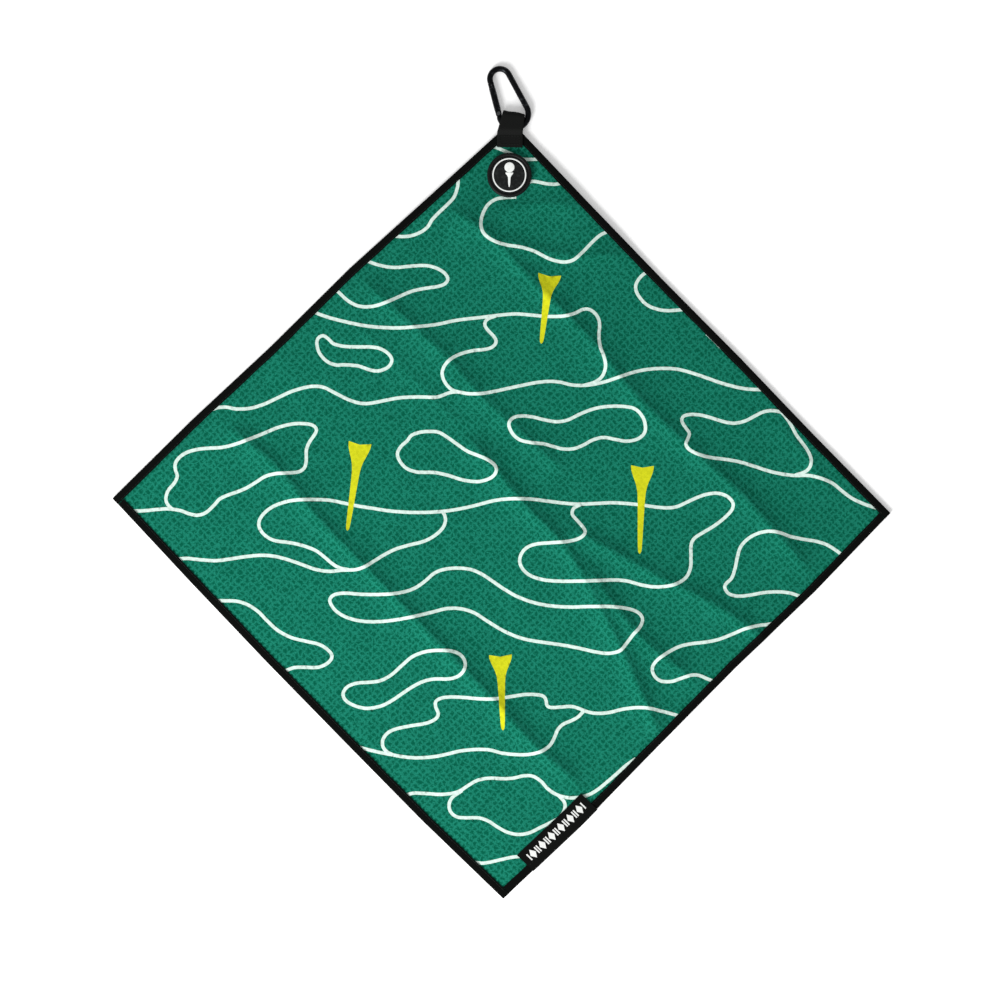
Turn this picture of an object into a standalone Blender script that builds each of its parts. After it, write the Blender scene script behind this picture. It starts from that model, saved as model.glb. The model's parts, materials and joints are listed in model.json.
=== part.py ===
"""Golf towel, lying face up: a bound square of waffle cloth with a webbing loop, a spring-gate
carabiner, a sewn-on magnet patch and a folded edge label.

Frame: metres, +Z up. z = 0 is the plane that the towel lies on. The origin is the middle of the
patch's back face, and +Y runs along the towel's diagonal towards the corner with the loop.
"""

import math

import bmesh
import bpy
from mathutils import Matrix, Vector

MM = 0.001

# Gaps between pieces that touch in the real object
CLOTH_GAP = 0.3 * MM
FIT_GAP = 0.15 * MM
RUNNING_GAP = 0.1 * MM

# Towel: waffle cloth with a folded tape over each edge
TOWEL_SIDE = 406.4 * MM
CLOTH_THICK = 1.6 * MM
TAPE_REACH = 6.0 * MM
TAPE_THICK = 0.5 * MM
TAPE_INNER_RADIUS = 0.5 * MM
SEAM_INSET = 1.1 * MM
SEAM_END = 4.0 * MM
THREAD_DIAMETER = 0.4 * MM

# Where the cloth is lifted off the floor by what is sewn under it
LIFT_STEPS = 5
PATCH_RAMP = 60.0 * MM
LABEL_RAMP = 60.0 * MM
RAMP_MARGIN = 2.0 * MM

# Webbing loop, sewn over the towel's trimmed corner
WEBBING_WIDTH = 19.0 * MM
WEBBING_THICK = 1.2 * MM
WEBBING_TAIL = 11.3 * MM
LOOP_LENGTH = 15.25 * MM
LOOP_LEAN = 3.05 * MM
LOOP_SLACK = 0.35 * MM
FOLD_SIDE_GAP = 0.6 * MM
FRONT_DESCENT = 6.0 * MM
FOLD_SLOPE = math.radians(8.3)
BOX_STITCH_INSET = 2.2 * MM
BOX_STITCH_LENGTH = 6.0 * MM

# Carabiner: a pear-shaped rod, its outer radii and the distance between their centres
ROD_DIAMETER = 4.4 * MM
WIDE_RADIUS = 13.0 * MM
NARROW_RADIUS = 9.6 * MM
CENTRE_DISTANCE = 28.2 * MM
CARABINER_TILT = math.radians(22.3)
CARABINER_OFFSET = 2.64 * MM
ROD_TO_CORNER = 0.72 * MM
ROD_ARC_POINTS = 14

# Gate: a slotted tube on a rivet, with the pusher and spring in its bore
GATE_DIAMETER = 4.8 * MM
GATE_LENGTH = 23.6 * MM
PIVOT_UP = 3.0 * MM
TONGUE_THICK = 1.6 * MM
TONGUE_RADIUS = 1.9 * MM
SLOT_GAP = 0.2 * MM
PIVOT_SLOT_DEPTH = 3.0 * MM
CAM_HEIGHT = 2.3 * MM
CAM_HALF_WIDTH = 1.2 * MM
SHOULDER_GAP = 0.35 * MM
RIVET_RADIUS = 0.75 * MM
RIVET_HEAD_RADIUS = 1.4 * MM
RIVET_HEAD_THICK = 0.4 * MM
SPOT_FACE_HEIGHT = 2.0 * MM
PIN_RADIUS = 0.5 * MM
PIN_FROM_END = 2.0 * MM
NOSE_GAP = 0.4 * MM
NOSE_TONGUE_HALF_WIDTH = 1.8 * MM
HOOK_DEPTH = 1.7 * MM
NOTCH_GAP = 0.25 * MM
BORE_RADIUS = 1.35 * MM
BORE_END = 14.0 * MM
PUSHER_HEAD = 1.8 * MM
PUSHER_STEM = 2.8 * MM
PUSHER_STEM_RADIUS = 0.55 * MM
SPRING_WIRE_RADIUS = 0.2 * MM
SPRING_TURNS = 7
SPRING_POINTS_PER_TURN = 10

# Magnet patch, its heights counted up from the shell's sewn face
PATCH_RADIUS = 16.5 * MM
PATCH_FROM_CORNER = 41.4 * MM
SHELL_HEIGHT = 3.6 * MM
RIM_WIDTH = 2.65 * MM
EMBLEM_THICK = 0.6 * MM
EMBLEM_SET_BACK = 0.25 * MM
MAGNET_RADIUS = 11.0 * MM
MAGNET_THICK = 1.5 * MM
COVER_THICK = 0.5 * MM
COVER_SET_BACK = 0.1 * MM
PATCH_SEAM_INSET = 1.3 * MM
TURN_STEPS = 48

# Edge label, folded over the lower right tape
LABEL_START = 28.5 * MM
LABEL_LENGTH = 66.0 * MM
LABEL_REACH = 15.3 * MM
LABEL_THICK = 0.4 * MM
LABEL_SEAM_END = 1.5 * MM

# Worked out from the sizes above
HALF_DIAGONAL = TOWEL_SIDE / math.sqrt(2)
TOWEL_CENTRE = Vector((0, PATCH_FROM_CORNER - HALF_DIAGONAL, 0))
CORNER_Y = PATCH_FROM_CORNER - (WEBBING_WIDTH / 2 - RUNNING_GAP)
SLOT_HALF = CLOTH_THICK / 2 + CLOTH_GAP
TAPE_HALF = SLOT_HALF + TAPE_THICK
LABEL_HALF = TAPE_HALF + CLOTH_GAP + LABEL_THICK
ROD_RADIUS = ROD_DIAMETER / 2
GATE_RADIUS = GATE_DIAMETER / 2
ROD_HEIGHT = WEBBING_THICK + LOOP_SLACK + ROD_RADIUS
FOLD_WIDTH = 2 * (WIDE_RADIUS - ROD_DIAMETER - FOLD_SIDE_GAP)
RAISED_MIDDLE = WEBBING_THICK + CLOTH_GAP + TAPE_HALF
THREAD_RADIUS = THREAD_DIAMETER / 2
THREAD_UP = RUNNING_GAP + THREAD_RADIUS


def clear_scene():
    for scene_object in list(bpy.data.objects):
        bpy.data.objects.remove(scene_object)


def new_collection(name):
    made = bpy.data.collections.new(name)
    bpy.context.scene.collection.children.link(made)
    return made


def new_material(name, colour, roughness, metallic=0.0):
    made = bpy.data.materials.new(name)
    made.use_nodes = True
    shader = made.node_tree.nodes["Principled BSDF"]
    shader.inputs["Base Color"].default_value = (*colour, 1)
    shader.inputs["Roughness"].default_value = roughness
    shader.inputs["Metallic"].default_value = metallic
    return made


# --- Shapes -------------------------------------------------------------------


def as_mesh(curve_object):
    """The mesh of a curve object, its caps welded on. The curve object is removed."""
    bpy.context.view_layer.update()
    graph = bpy.context.evaluated_depsgraph_get()
    mesh = bpy.data.meshes.new_from_object(curve_object.evaluated_get(graph))
    mesh.materials.clear()
    shape = bmesh.new()
    shape.from_mesh(mesh)
    bmesh.ops.remove_doubles(shape, verts=shape.verts, dist=0.001 * MM)
    bmesh.ops.recalc_face_normals(shape, faces=shape.faces)
    shape.to_mesh(mesh)
    shape.free()
    bpy.data.objects.remove(curve_object)
    return mesh


def spline_curve(points, closed, dimensions):
    curve = bpy.data.curves.new("outline", "CURVE")
    curve.dimensions = dimensions
    spline = curve.splines.new("POLY")
    spline.points.add(len(points) - 1)
    for spline_point, point in zip(spline.points, points):
        spline_point.co = (*point, *[0] * (3 - len(point)), 1)
    spline.use_cyclic_u = closed
    made = bpy.data.objects.new("outline", curve)
    bpy.context.scene.collection.objects.link(made)
    return made


def prism(outline, thick):
    """The mesh of a flat outline, thick along Z and centred on it."""
    outline_object = spline_curve(outline, True, "2D")
    outline_object.data.fill_mode = "BOTH"
    outline_object.data.extrude = thick / 2
    return as_mesh(outline_object)


def tube(points, radius, closed=False, resolution=1):
    path = spline_curve(points, closed, "3D")
    path.data.bevel_depth = radius
    path.data.bevel_resolution = resolution
    path.data.use_fill_caps = not closed
    return as_mesh(path)


def arc(centre, radius, start, end, steps):
    """Points on an arc of a plane, from one angle to another, both ends included."""
    angles = [start + (end - start) * step / steps for step in range(steps + 1)]
    return [(centre[0] + radius * math.cos(a), centre[1] + radius * math.sin(a)) for a in angles]


def cylinder(radius, low, high, steps=24):
    """The mesh of a cylinder along Z."""
    shape = bmesh.new()
    bmesh.ops.create_cone(
        shape,
        cap_ends=True,
        segments=steps,
        radius1=radius,
        radius2=radius,
        depth=high - low,
        matrix=Matrix.Translation((0, 0, (low + high) / 2)),
    )
    mesh = bpy.data.meshes.new("cylinder")
    shape.to_mesh(mesh)
    shape.free()
    return mesh


def box(low, high):
    shape = bmesh.new()
    bmesh.ops.create_cube(shape, size=1)
    size = Vector(high) - Vector(low)
    bmesh.ops.scale(shape, verts=shape.verts, vec=size)
    bmesh.ops.translate(shape, verts=shape.verts, vec=Vector(low) + size / 2)
    mesh = bpy.data.meshes.new("box")
    shape.to_mesh(mesh)
    shape.free()
    return mesh


def turned(profile, steps=TURN_STEPS):
    """An object turned about Z from (radius, height) points that start at the top of the axis."""
    mesh = bpy.data.meshes.new("turned")
    edges = [(i, i + 1) for i in range(len(profile) - 1)]
    mesh.from_pydata([(radius, 0, height) for radius, height in profile], edges, [])
    made = bpy.data.objects.new("turned", mesh)
    screw = made.modifiers.new("Screw", "SCREW")
    screw.steps = steps
    screw.render_steps = steps
    screw.use_merge_vertices = True
    screw.merge_threshold = 0.001 * MM
    return made


# --- The assembly ---------------------------------------------------------------


def add_part(part, name, material, smooth=None, parent=None):
    """Names a mesh or an object as a part, in the towel's collection."""
    if isinstance(part, bpy.types.Mesh):
        part = bpy.data.objects.new(name, part)
    part.name = name
    part.data.name = name
    part.data.materials.append(material)
    towel_collection.objects.link(part)
    part.parent = parent
    if smooth is not None:
        part.data.shade_smooth()
        part.data.set_sharp_from_angle(angle=math.radians(smooth))
    return part


def add_boolean(part, mesh, operation="DIFFERENCE", matrix=None):
    """Cuts a part with a mesh placed in the part's own axes, or joins or intersects them."""
    cutter = bpy.data.objects.new(f"{part.name}_cutter", mesh)
    cutter_collection.objects.link(cutter)
    cutter.parent = part
    cutter.matrix_local = matrix or Matrix()
    cutter.hide_render = True
    cutter.display_type = "WIRE"
    boolean = part.modifiers.new(operation.title(), "BOOLEAN")
    boolean.object = cutter
    boolean.operation = operation
    boolean.solver = "EXACT"


def add_empty(name, location, rotation, parent=None):
    made = bpy.data.objects.new(name, None)
    made.empty_display_size = 5 * MM
    towel_collection.objects.link(made)
    made.parent = parent
    made.location = location
    made.rotation_euler = rotation
    return made


# --- How the cloth lies -----------------------------------------------------------


def label_top():
    """The Y of the label's highest corner, where the lift under it is complete."""
    along = LABEL_START + LABEL_LENGTH + LABEL_REACH
    return TOWEL_CENTRE.y - HALF_DIAGONAL + along / math.sqrt(2)


def ramps():
    """Each rise of the cloth as (Y where it starts, Y where it is complete, its height)."""
    patch_edge = -PATCH_RADIUS - RAMP_MARGIN
    label_edge = label_top() + RAMP_MARGIN
    return [
        (patch_edge - PATCH_RAMP, patch_edge, RAISED_MIDDLE - TAPE_HALF),
        (label_edge + LABEL_RAMP, label_edge, LABEL_HALF - TAPE_HALF),
    ]


def middle_height(y):
    """The height of the cloth's middle plane over the floor."""
    height = TAPE_HALF
    for start, end, rise in ramps():
        share = min(max((y - start) / (end - start), 0), 1)
        height += rise * share * share * (3 - 2 * share)
    return height


def lay(mesh):
    """Bends a mesh that was built flat about z = 0 to the way the cloth lies."""
    shape = bmesh.new()
    shape.from_mesh(mesh)
    for start, end, _ in ramps():
        for step in range(LIFT_STEPS + 1):
            bmesh.ops.bisect_plane(
                shape,
                geom=shape.verts[:] + shape.edges[:] + shape.faces[:],
                dist=0.001 * MM,
                plane_co=(0, start + (end - start) * step / LIFT_STEPS, 0),
                plane_no=(0, 1, 0),
            )
    for vertex in shape.verts:
        vertex.co.z += middle_height(vertex.co.y)
    shape.to_mesh(mesh)
    shape.free()
    return mesh


def trim(mesh, point, outward):
    """Cuts off what lies beyond a plane and closes the cut."""
    shape = bmesh.new()
    shape.from_mesh(mesh)
    result = bmesh.ops.bisect_plane(
        shape,
        geom=shape.verts[:] + shape.edges[:] + shape.faces[:],
        dist=0.001 * MM,
        plane_co=point,
        plane_no=outward,
        clear_outer=True,
    )
    rim = [part for part in result["geom_cut"] if isinstance(part, bmesh.types.BMEdge)]
    bmesh.ops.edgeloop_fill(shape, edges=rim)
    bmesh.ops.recalc_face_normals(shape, faces=shape.faces)
    shape.to_mesh(mesh)
    shape.free()
    return mesh


# --- Towel ------------------------------------------------------------------------


def edge_frame(side):
    """Axes of one edge: X inward, Y up, Z along it. Sides run anticlockwise from the upper left."""
    turn = Matrix.Rotation(side * math.pi / 2, 4, "Z")
    inward = turn @ Vector((1, -1, 0)).normalized()
    along = turn @ Vector((-1, -1, 0)).normalized()
    corner = TOWEL_CENTRE + turn @ Vector((0, HALF_DIAGONAL, 0))
    axes = Matrix((inward, Vector((0, 0, 1)), along)).transposed().to_4x4()
    return Matrix.Translation(corner) @ axes


def channel_outline(edge, reach, slot_half, wall, inner_radius, steps=3):
    """The U section of a band folded over an edge: its outer face is at `edge`."""
    outer_radius = inner_radius + wall
    half = slot_half + wall
    centre = edge + outer_radius
    quarter = math.pi / 2
    outline = [(reach, half), (reach, slot_half)]
    outline += arc((centre, slot_half - inner_radius), inner_radius, quarter, 2 * quarter, steps)
    outline += arc((centre, inner_radius - slot_half), inner_radius, 2 * quarter, 3 * quarter, steps)
    outline += [(reach, -slot_half), (reach, -half)]
    outline += arc((centre, outer_radius - half), outer_radius, 3 * quarter, 2 * quarter, steps)
    outline += arc((centre, half - outer_radius), outer_radius, 2 * quarter, quarter, steps)
    return outline


def band(side, start, end, outline):
    mesh = prism(outline, end - start)
    mesh.transform(edge_frame(side) @ Matrix.Translation((0, 0, (start + end) / 2)))
    return mesh


def edge_thread(side, start, end, inset, height):
    mesh = tube([(inset, height, start), (inset, height, end)], THREAD_RADIUS)
    mesh.transform(edge_frame(side))
    return mesh


def build_towel():
    edge = TAPE_THICK + CLOTH_GAP
    half = HALF_DIAGONAL - edge * math.sqrt(2)
    low_centre = TOWEL_CENTRE.xy
    corners = [low_centre + Vector(c) * half for c in ((0, 1), (-1, 0), (0, -1), (1, 0))]
    panel = trim(prism(corners, CLOTH_THICK), (0, CORNER_Y, 0), (0, 1, 0))
    add_part(lay(panel), "towel_panel", cloth_green)

    outline = channel_outline(0, TAPE_REACH, SLOT_HALF, TAPE_THICK, TAPE_INNER_RADIUS)
    under = TAPE_REACH + CLOTH_GAP
    spans = {
        "upper_left": (0, TOWEL_SIDE),
        "lower_left": (under, TOWEL_SIDE),
        "lower_right": (under, TOWEL_SIDE - under),
        "upper_right": (0, TOWEL_SIDE),
    }
    seam = TAPE_REACH - SEAM_INSET
    past_webbing = (WEBBING_WIDTH / 2 + 2 * THREAD_DIAMETER) * math.sqrt(2) + seam
    past_label = LABEL_START + LABEL_LENGTH + LABEL_SEAM_END
    seams = {
        "upper_left": (past_webbing, TOWEL_SIDE - SEAM_END),
        "lower_left": (under + SEAM_END, TOWEL_SIDE - SEAM_END),
        "lower_right": (past_label, TOWEL_SIDE - under - SEAM_END),
        "upper_right": (SEAM_END, TOWEL_SIDE - past_webbing),
    }
    for side, (name, (start, end)) in enumerate(spans.items()):
        mesh = band(side, start, end, outline)
        if name.startswith("upper"):
            away = -1 if name == "upper_left" else 1
            mesh = trim(mesh, (away * CLOTH_GAP / 2, 0, 0), (-away, 0, 0))
            mesh = trim(mesh, (0, CORNER_Y, 0), (0, 1, 0))
        add_part(lay(mesh), f"binding_{name}", tape_black, smooth=40)
        thread = edge_thread(side, *seams[name], seam, TAPE_HALF + THREAD_UP)
        add_part(lay(thread), f"binding_thread_{name}", thread_black, smooth=60)


def build_label():
    side = 2
    edge = -CLOTH_GAP - LABEL_THICK
    inner_radius = TAPE_INNER_RADIUS + TAPE_THICK + CLOTH_GAP
    slot_half = TAPE_HALF + CLOTH_GAP
    outline = channel_outline(edge, LABEL_REACH, slot_half, LABEL_THICK, inner_radius)
    end = LABEL_START + LABEL_LENGTH
    add_part(lay(band(side, LABEL_START, end, outline)), "edge_label", label_black, smooth=40)
    thread = edge_thread(
        side,
        LABEL_START + LABEL_SEAM_END,
        end - LABEL_SEAM_END,
        TAPE_REACH - SEAM_INSET,
        LABEL_HALF + THREAD_UP,
    )
    add_part(lay(thread), "label_thread", thread_black, smooth=60)


# --- Webbing loop -------------------------------------------------------------------


def webbing_side_path():
    """The strap's middle line seen from the side, from the back tail round to the front one."""
    half = WEBBING_THICK / 2
    tail_y = CORNER_Y - WEBBING_TAIL
    front_tail = RAISED_MIDDLE + TAPE_HALF + CLOTH_GAP + half
    over_rod = ROD_HEIGHT + ROD_RADIUS + LOOP_SLACK + half
    bend = (over_rod - half) / 2
    bend_y = CORNER_Y + LOOP_LENGTH - bend - half
    path = [(tail_y, half), (CORNER_Y, half)]
    path += arc((bend_y, half + bend), bend, -math.pi / 2, math.pi / 2, 8)
    start_down = CORNER_Y + ROD_TO_CORNER + ROD_RADIUS
    for step in range(5):
        share = step / 4
        drop = share * share * (3 - 2 * share)
        height = over_rod + (front_tail - over_rod) * drop
        path.append((start_down - FRONT_DESCENT * share, height))
    return path + [(tail_y, front_tail)]


def webbing_place(x, y):
    """Moves a point of the straight strap to where the leaning, narrowing strap has it."""
    share = min(max((y - CORNER_Y) / LOOP_LENGTH, 0), 1)
    narrow = 1 - share * (1 - FOLD_WIDTH / WEBBING_WIDTH)
    return x * narrow + LOOP_LEAN * share, y - x * math.tan(FOLD_SLOPE) * share


def build_webbing():
    mesh = bpy.data.meshes.new("webbing")
    path = webbing_side_path()
    points = [(side * WEBBING_WIDTH / 2, y, z) for y, z in path for side in (1, -1)]
    faces = [(2 * i, 2 * i + 1, 2 * i + 3, 2 * i + 2) for i in range(len(path) - 1)]
    mesh.from_pydata(points, [], faces)
    for vertex in mesh.vertices:
        vertex.co.x, vertex.co.y = webbing_place(vertex.co.x, vertex.co.y)
    webbing = add_part(mesh, "webbing_loop", webbing_black, smooth=50)
    solidify = webbing.modifiers.new("Solidify", "SOLIDIFY")
    solidify.thickness = WEBBING_THICK
    solidify.offset = 0
    solidify.use_even_offset = True

    side = WEBBING_WIDTH / 2 - BOX_STITCH_INSET
    low = CORNER_Y - WEBBING_TAIL + BOX_STITCH_INSET
    high = low + BOX_STITCH_LENGTH
    top = webbing_side_path()[-1][1] + WEBBING_THICK / 2 + THREAD_UP
    corners = [(-side, low), (side, low), (side, high), (-side, high)]
    mesh = tube([(x, y, top) for x, y in corners], THREAD_RADIUS, closed=True)
    add_part(mesh, "webbing_thread", thread_black, smooth=60)


# --- Carabiner ------------------------------------------------------------------------
# The pear is drawn about the centre of its wide end, with +Y towards the narrow end.


def pear_lean():
    return math.asin((WIDE_RADIUS - NARROW_RADIUS) / CENTRE_DISTANCE)


def gate_line(distance):
    """The point of the gate's middle line this far up from where the wide end's arc stops."""
    lean = pear_lean()
    radius = WIDE_RADIUS - ROD_RADIUS
    foot = Vector((-radius * math.cos(lean), radius * math.sin(lean), 0))
    return foot + distance * Vector((math.sin(lean), math.cos(lean), 0))


def carabiner_path():
    """The rod's middle line from the shoulder under the gate's pivot round to the nose."""
    lean = pear_lean()
    wide = WIDE_RADIUS - ROD_RADIUS
    narrow = NARROW_RADIUS - ROD_RADIUS
    shoulder = gate_line(PIVOT_UP - GATE_RADIUS - SHOULDER_GAP)
    nose = gate_line(PIVOT_UP + GATE_LENGTH + NOSE_GAP)
    path = [tuple(shoulder.xy)]
    path += arc((0, 0), wide, math.pi - lean, 2 * math.pi + lean, 2 * ROD_ARC_POINTS)
    path += arc((0, CENTRE_DISTANCE), narrow, lean, math.pi - lean, ROD_ARC_POINTS)
    return path + [tuple(nose.xy)]


def swing_rise():
    """How far the wide end's centre is past the swing axis: the rod's mean line in the loop."""
    radius = WIDE_RADIUS - ROD_RADIUS
    half = FOLD_WIDTH / 2
    return (radius + math.sqrt(radius * radius - half * half)) / 2


def build_swing_axis():
    """The empty on the swing axis. It is pitched so that the narrow end rests on the floor."""
    wide_centre_y = CORNER_Y + ROD_TO_CORNER + WIDE_RADIUS
    axis = Vector((CARABINER_OFFSET, wide_centre_y - swing_rise(), ROD_HEIGHT))
    reach = swing_rise() + CENTRE_DISTANCE * math.cos(CARABINER_TILT) + NARROW_RADIUS - ROD_RADIUS
    pitch = math.asin((ROD_HEIGHT - ROD_RADIUS) / reach)
    rotation = Matrix.Rotation(-pitch, 3, "X") @ Matrix.Rotation(CARABINER_TILT, 3, "Z")
    return add_empty("carabiner_swing_axis", axis, rotation.to_euler())


def build_frame(parent):
    centre = Matrix.Rotation(-CARABINER_TILT, 3, "Z") @ Vector((0, swing_rise(), 0))
    mesh = tube(carabiner_path(), ROD_RADIUS, resolution=2)
    frame = add_part(mesh, "carabiner_frame", anodised_black, smooth=40, parent=parent)
    frame.location = centre
    gate_axes = Matrix.Translation(gate_line(PIVOT_UP)) @ Matrix.Rotation(-pear_lean(), 4, "Z")

    into_rod = GATE_RADIUS + SHOULDER_GAP + ROD_RADIUS / 2
    tongue = [(-TONGUE_RADIUS, -into_rod), (TONGUE_RADIUS, -into_rod)]
    tongue += arc((0, 0), TONGUE_RADIUS, 0, math.radians(45), 3)
    tongue += [(CAM_HALF_WIDTH, CAM_HEIGHT), (-CAM_HALF_WIDTH, CAM_HEIGHT)]
    tongue += arc((0, 0), TONGUE_RADIUS, math.radians(135), math.pi, 3)
    add_boolean(frame, prism(tongue, TONGUE_THICK), "UNION", gate_axes)

    pin_y = GATE_LENGTH - PIN_FROM_END
    nose_y = GATE_LENGTH + NOSE_GAP + ROD_RADIUS / 2
    half = NOSE_TONGUE_HALF_WIDTH
    nose = box((-half, pin_y - HOOK_DEPTH, -TONGUE_THICK / 2), (half, nose_y, TONGUE_THICK / 2))
    add_boolean(frame, nose, "UNION", gate_axes)

    hole = cylinder(RIVET_RADIUS + RUNNING_GAP, -TONGUE_THICK, TONGUE_THICK)
    add_boolean(frame, hole, matrix=gate_axes)
    notch_radius = PIN_RADIUS + NOTCH_GAP
    notch = arc((0, pin_y), notch_radius, math.pi / 2, 3 * math.pi / 2, 8)
    notch += [(2 * half, pin_y - notch_radius), (2 * half, pin_y + notch_radius)]
    add_boolean(frame, prism(notch, 2 * TONGUE_THICK), matrix=gate_axes)
    return centre


def build_gate(swing_axis, frame_centre):
    hinge = add_empty(
        "gate_hinge_axis",
        frame_centre + gate_line(PIVOT_UP),
        (0, 0, -pear_lean()),
        parent=swing_axis,
    )
    lengthwise = Matrix.Rotation(-math.pi / 2, 4, "X")
    body = cylinder(GATE_RADIUS, -GATE_RADIUS - FIT_GAP, GATE_LENGTH, steps=22)
    body.transform(lengthwise)
    gate = add_part(body, "carabiner_gate", anodised_black, smooth=40, parent=hinge)
    wide = 1.2 * GATE_RADIUS
    round_end = arc((0, 0), GATE_RADIUS - RUNNING_GAP, -math.pi, 0, 13)
    round_end += [(wide, 0), (wide, 2 * GATE_LENGTH), (-wide, 2 * GATE_LENGTH), (-wide, 0)]
    add_boolean(gate, prism(round_end, 3 * GATE_DIAMETER), "INTERSECT")

    slot_half = TONGUE_THICK / 2 + SLOT_GAP
    slot = box((-2 * wide, -2 * wide, -slot_half), (2 * wide, PIVOT_SLOT_DEPTH, slot_half))
    add_boolean(gate, slot)
    pin_y = GATE_LENGTH - PIN_FROM_END
    floor = pin_y - HOOK_DEPTH - NOSE_GAP
    add_boolean(gate, box((-2 * wide, floor, -slot_half), (2 * wide, 2 * GATE_LENGTH, slot_half)))
    bore = cylinder(BORE_RADIUS, PIVOT_SLOT_DEPTH - slot_half, BORE_END)
    bore.transform(lengthwise)
    add_boolean(gate, bore)
    add_boolean(gate, cylinder(RIVET_RADIUS + RUNNING_GAP, -GATE_DIAMETER, GATE_DIAMETER))
    for side in (0, math.pi):
        spot_radius = RIVET_HEAD_RADIUS + 2 * RUNNING_GAP
        spot_face = cylinder(spot_radius, SPOT_FACE_HEIGHT, 2 * GATE_DIAMETER)
        add_boolean(gate, spot_face, matrix=Matrix.Rotation(side, 4, "X"))
    pin_hole = cylinder(PIN_RADIUS + RUNNING_GAP, -GATE_DIAMETER, GATE_DIAMETER)
    add_boolean(gate, pin_hole, matrix=Matrix.Translation((0, pin_y, 0)))

    under_head = SPOT_FACE_HEIGHT + RUNNING_GAP
    head_top = under_head + RIVET_HEAD_THICK
    crown = RIVET_HEAD_RADIUS - RIVET_HEAD_THICK / 2
    half_profile = [(0, head_top), (crown, head_top), (RIVET_HEAD_RADIUS, under_head)]
    half_profile += [(RIVET_RADIUS, under_head)]
    profile = half_profile + [(radius, -height) for radius, height in reversed(half_profile)]
    rivet = turned(profile, 24)
    add_part(rivet, "gate_pivot_rivet", steel, smooth=30, parent=hinge)

    pin_half = GATE_RADIUS - 2 * RUNNING_GAP
    pin = cylinder(PIN_RADIUS, -pin_half, pin_half, 16)
    pin.transform(Matrix.Translation((0, pin_y, 0)))
    add_part(pin, "gate_latch_pin", steel, smooth=40, parent=hinge)
    build_gate_spring(hinge, lengthwise)


def build_gate_spring(hinge, lengthwise):
    foot = CAM_HEIGHT + FIT_GAP
    head = foot + PUSHER_HEAD
    head_radius = BORE_RADIUS - FIT_GAP
    profile = [
        (0, head + PUSHER_STEM),
        (PUSHER_STEM_RADIUS, head + PUSHER_STEM),
        (PUSHER_STEM_RADIUS, head),
        (head_radius, head),
        (head_radius, foot),
        (0, foot),
    ]
    pusher = turned(profile, 20)
    pusher.data.transform(lengthwise)
    pusher.modifiers["Screw"].axis = "Y"
    add_part(pusher, "spring_pusher", steel, smooth=40, parent=hinge)

    coil_radius = PUSHER_STEM_RADIUS + RUNNING_GAP + SPRING_WIRE_RADIUS
    start = head + RUNNING_GAP + SPRING_WIRE_RADIUS
    end = BORE_END - RUNNING_GAP - SPRING_WIRE_RADIUS
    count = SPRING_TURNS * SPRING_POINTS_PER_TURN
    points = []
    for step in range(count + 1):
        angle = 2 * math.pi * step / SPRING_POINTS_PER_TURN
        along = start + (end - start) * step / count
        points.append((coil_radius * math.cos(angle), along, coil_radius * math.sin(angle)))
    coil = tube(points, SPRING_WIRE_RADIUS)
    add_part(coil, "gate_spring", steel, smooth=60, parent=hinge)


# --- Magnet patch -----------------------------------------------------------------------


def raised(profile, base):
    return [(radius, height + base) for radius, height in profile]


def disc_profile(radius, low, high):
    return [(0, high), (radius, high), (radius, low), (0, low)]


def build_patch():
    panel_top = RAISED_MIDDLE + CLOTH_THICK / 2
    base = panel_top + CLOTH_GAP
    emblem_radius = PATCH_RADIUS - RIM_WIDTH - FIT_GAP
    emblem_top = SHELL_HEIGHT - EMBLEM_SET_BACK
    recess = emblem_top - EMBLEM_THICK - FIT_GAP
    magnet_low = COVER_SET_BACK + COVER_THICK + FIT_GAP
    pocket_top = magnet_low + MAGNET_THICK + FIT_GAP
    pocket_radius = MAGNET_RADIUS + 2 * FIT_GAP
    rim_radius = RIM_WIDTH / 2
    rim_middle = PATCH_RADIUS - rim_radius
    rim_foot = SHELL_HEIGHT - rim_radius
    shell = [(0, recess), (PATCH_RADIUS - RIM_WIDTH, recess)]
    shell += arc((rim_middle, rim_foot), rim_radius, math.pi, 0, 10)
    shell += [(PATCH_RADIUS, 0), (pocket_radius, 0), (pocket_radius, pocket_top), (0, pocket_top)]
    add_part(turned(raised(shell, base)), "patch_shell", rubber_black, smooth=35)

    emblem = disc_profile(emblem_radius, emblem_top - EMBLEM_THICK, emblem_top)
    add_part(turned(raised(emblem, base)), "emblem_disc", emblem_black, smooth=35)
    magnet = disc_profile(MAGNET_RADIUS, magnet_low, magnet_low + MAGNET_THICK)
    add_part(turned(raised(magnet, base)), "magnet", nickel, smooth=35)
    cover = disc_profile(
        pocket_radius - FIT_GAP, COVER_SET_BACK, COVER_SET_BACK + COVER_THICK
    )
    add_part(turned(raised(cover, base)), "magnet_cover", rubber_black, smooth=35)

    backing_top = RAISED_MIDDLE - CLOTH_THICK / 2 - CLOTH_GAP
    backing = disc_profile(PATCH_RADIUS, 0, backing_top)
    add_part(turned(backing), "patch_backing", rubber_black, smooth=35)

    seam_radius = PATCH_RADIUS - PATCH_SEAM_INSET
    height = base + SHELL_HEIGHT + THREAD_UP
    ring = arc((0, 0), seam_radius, 0, 2 * math.pi, TURN_STEPS)[:-1]
    mesh = tube([(x, y, height) for x, y in ring], THREAD_RADIUS, closed=True)
    add_part(mesh, "patch_thread", thread_black, smooth=60)


clear_scene()
towel_collection = new_collection("golf_towel")
cutter_collection = new_collection("cutters")

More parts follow.
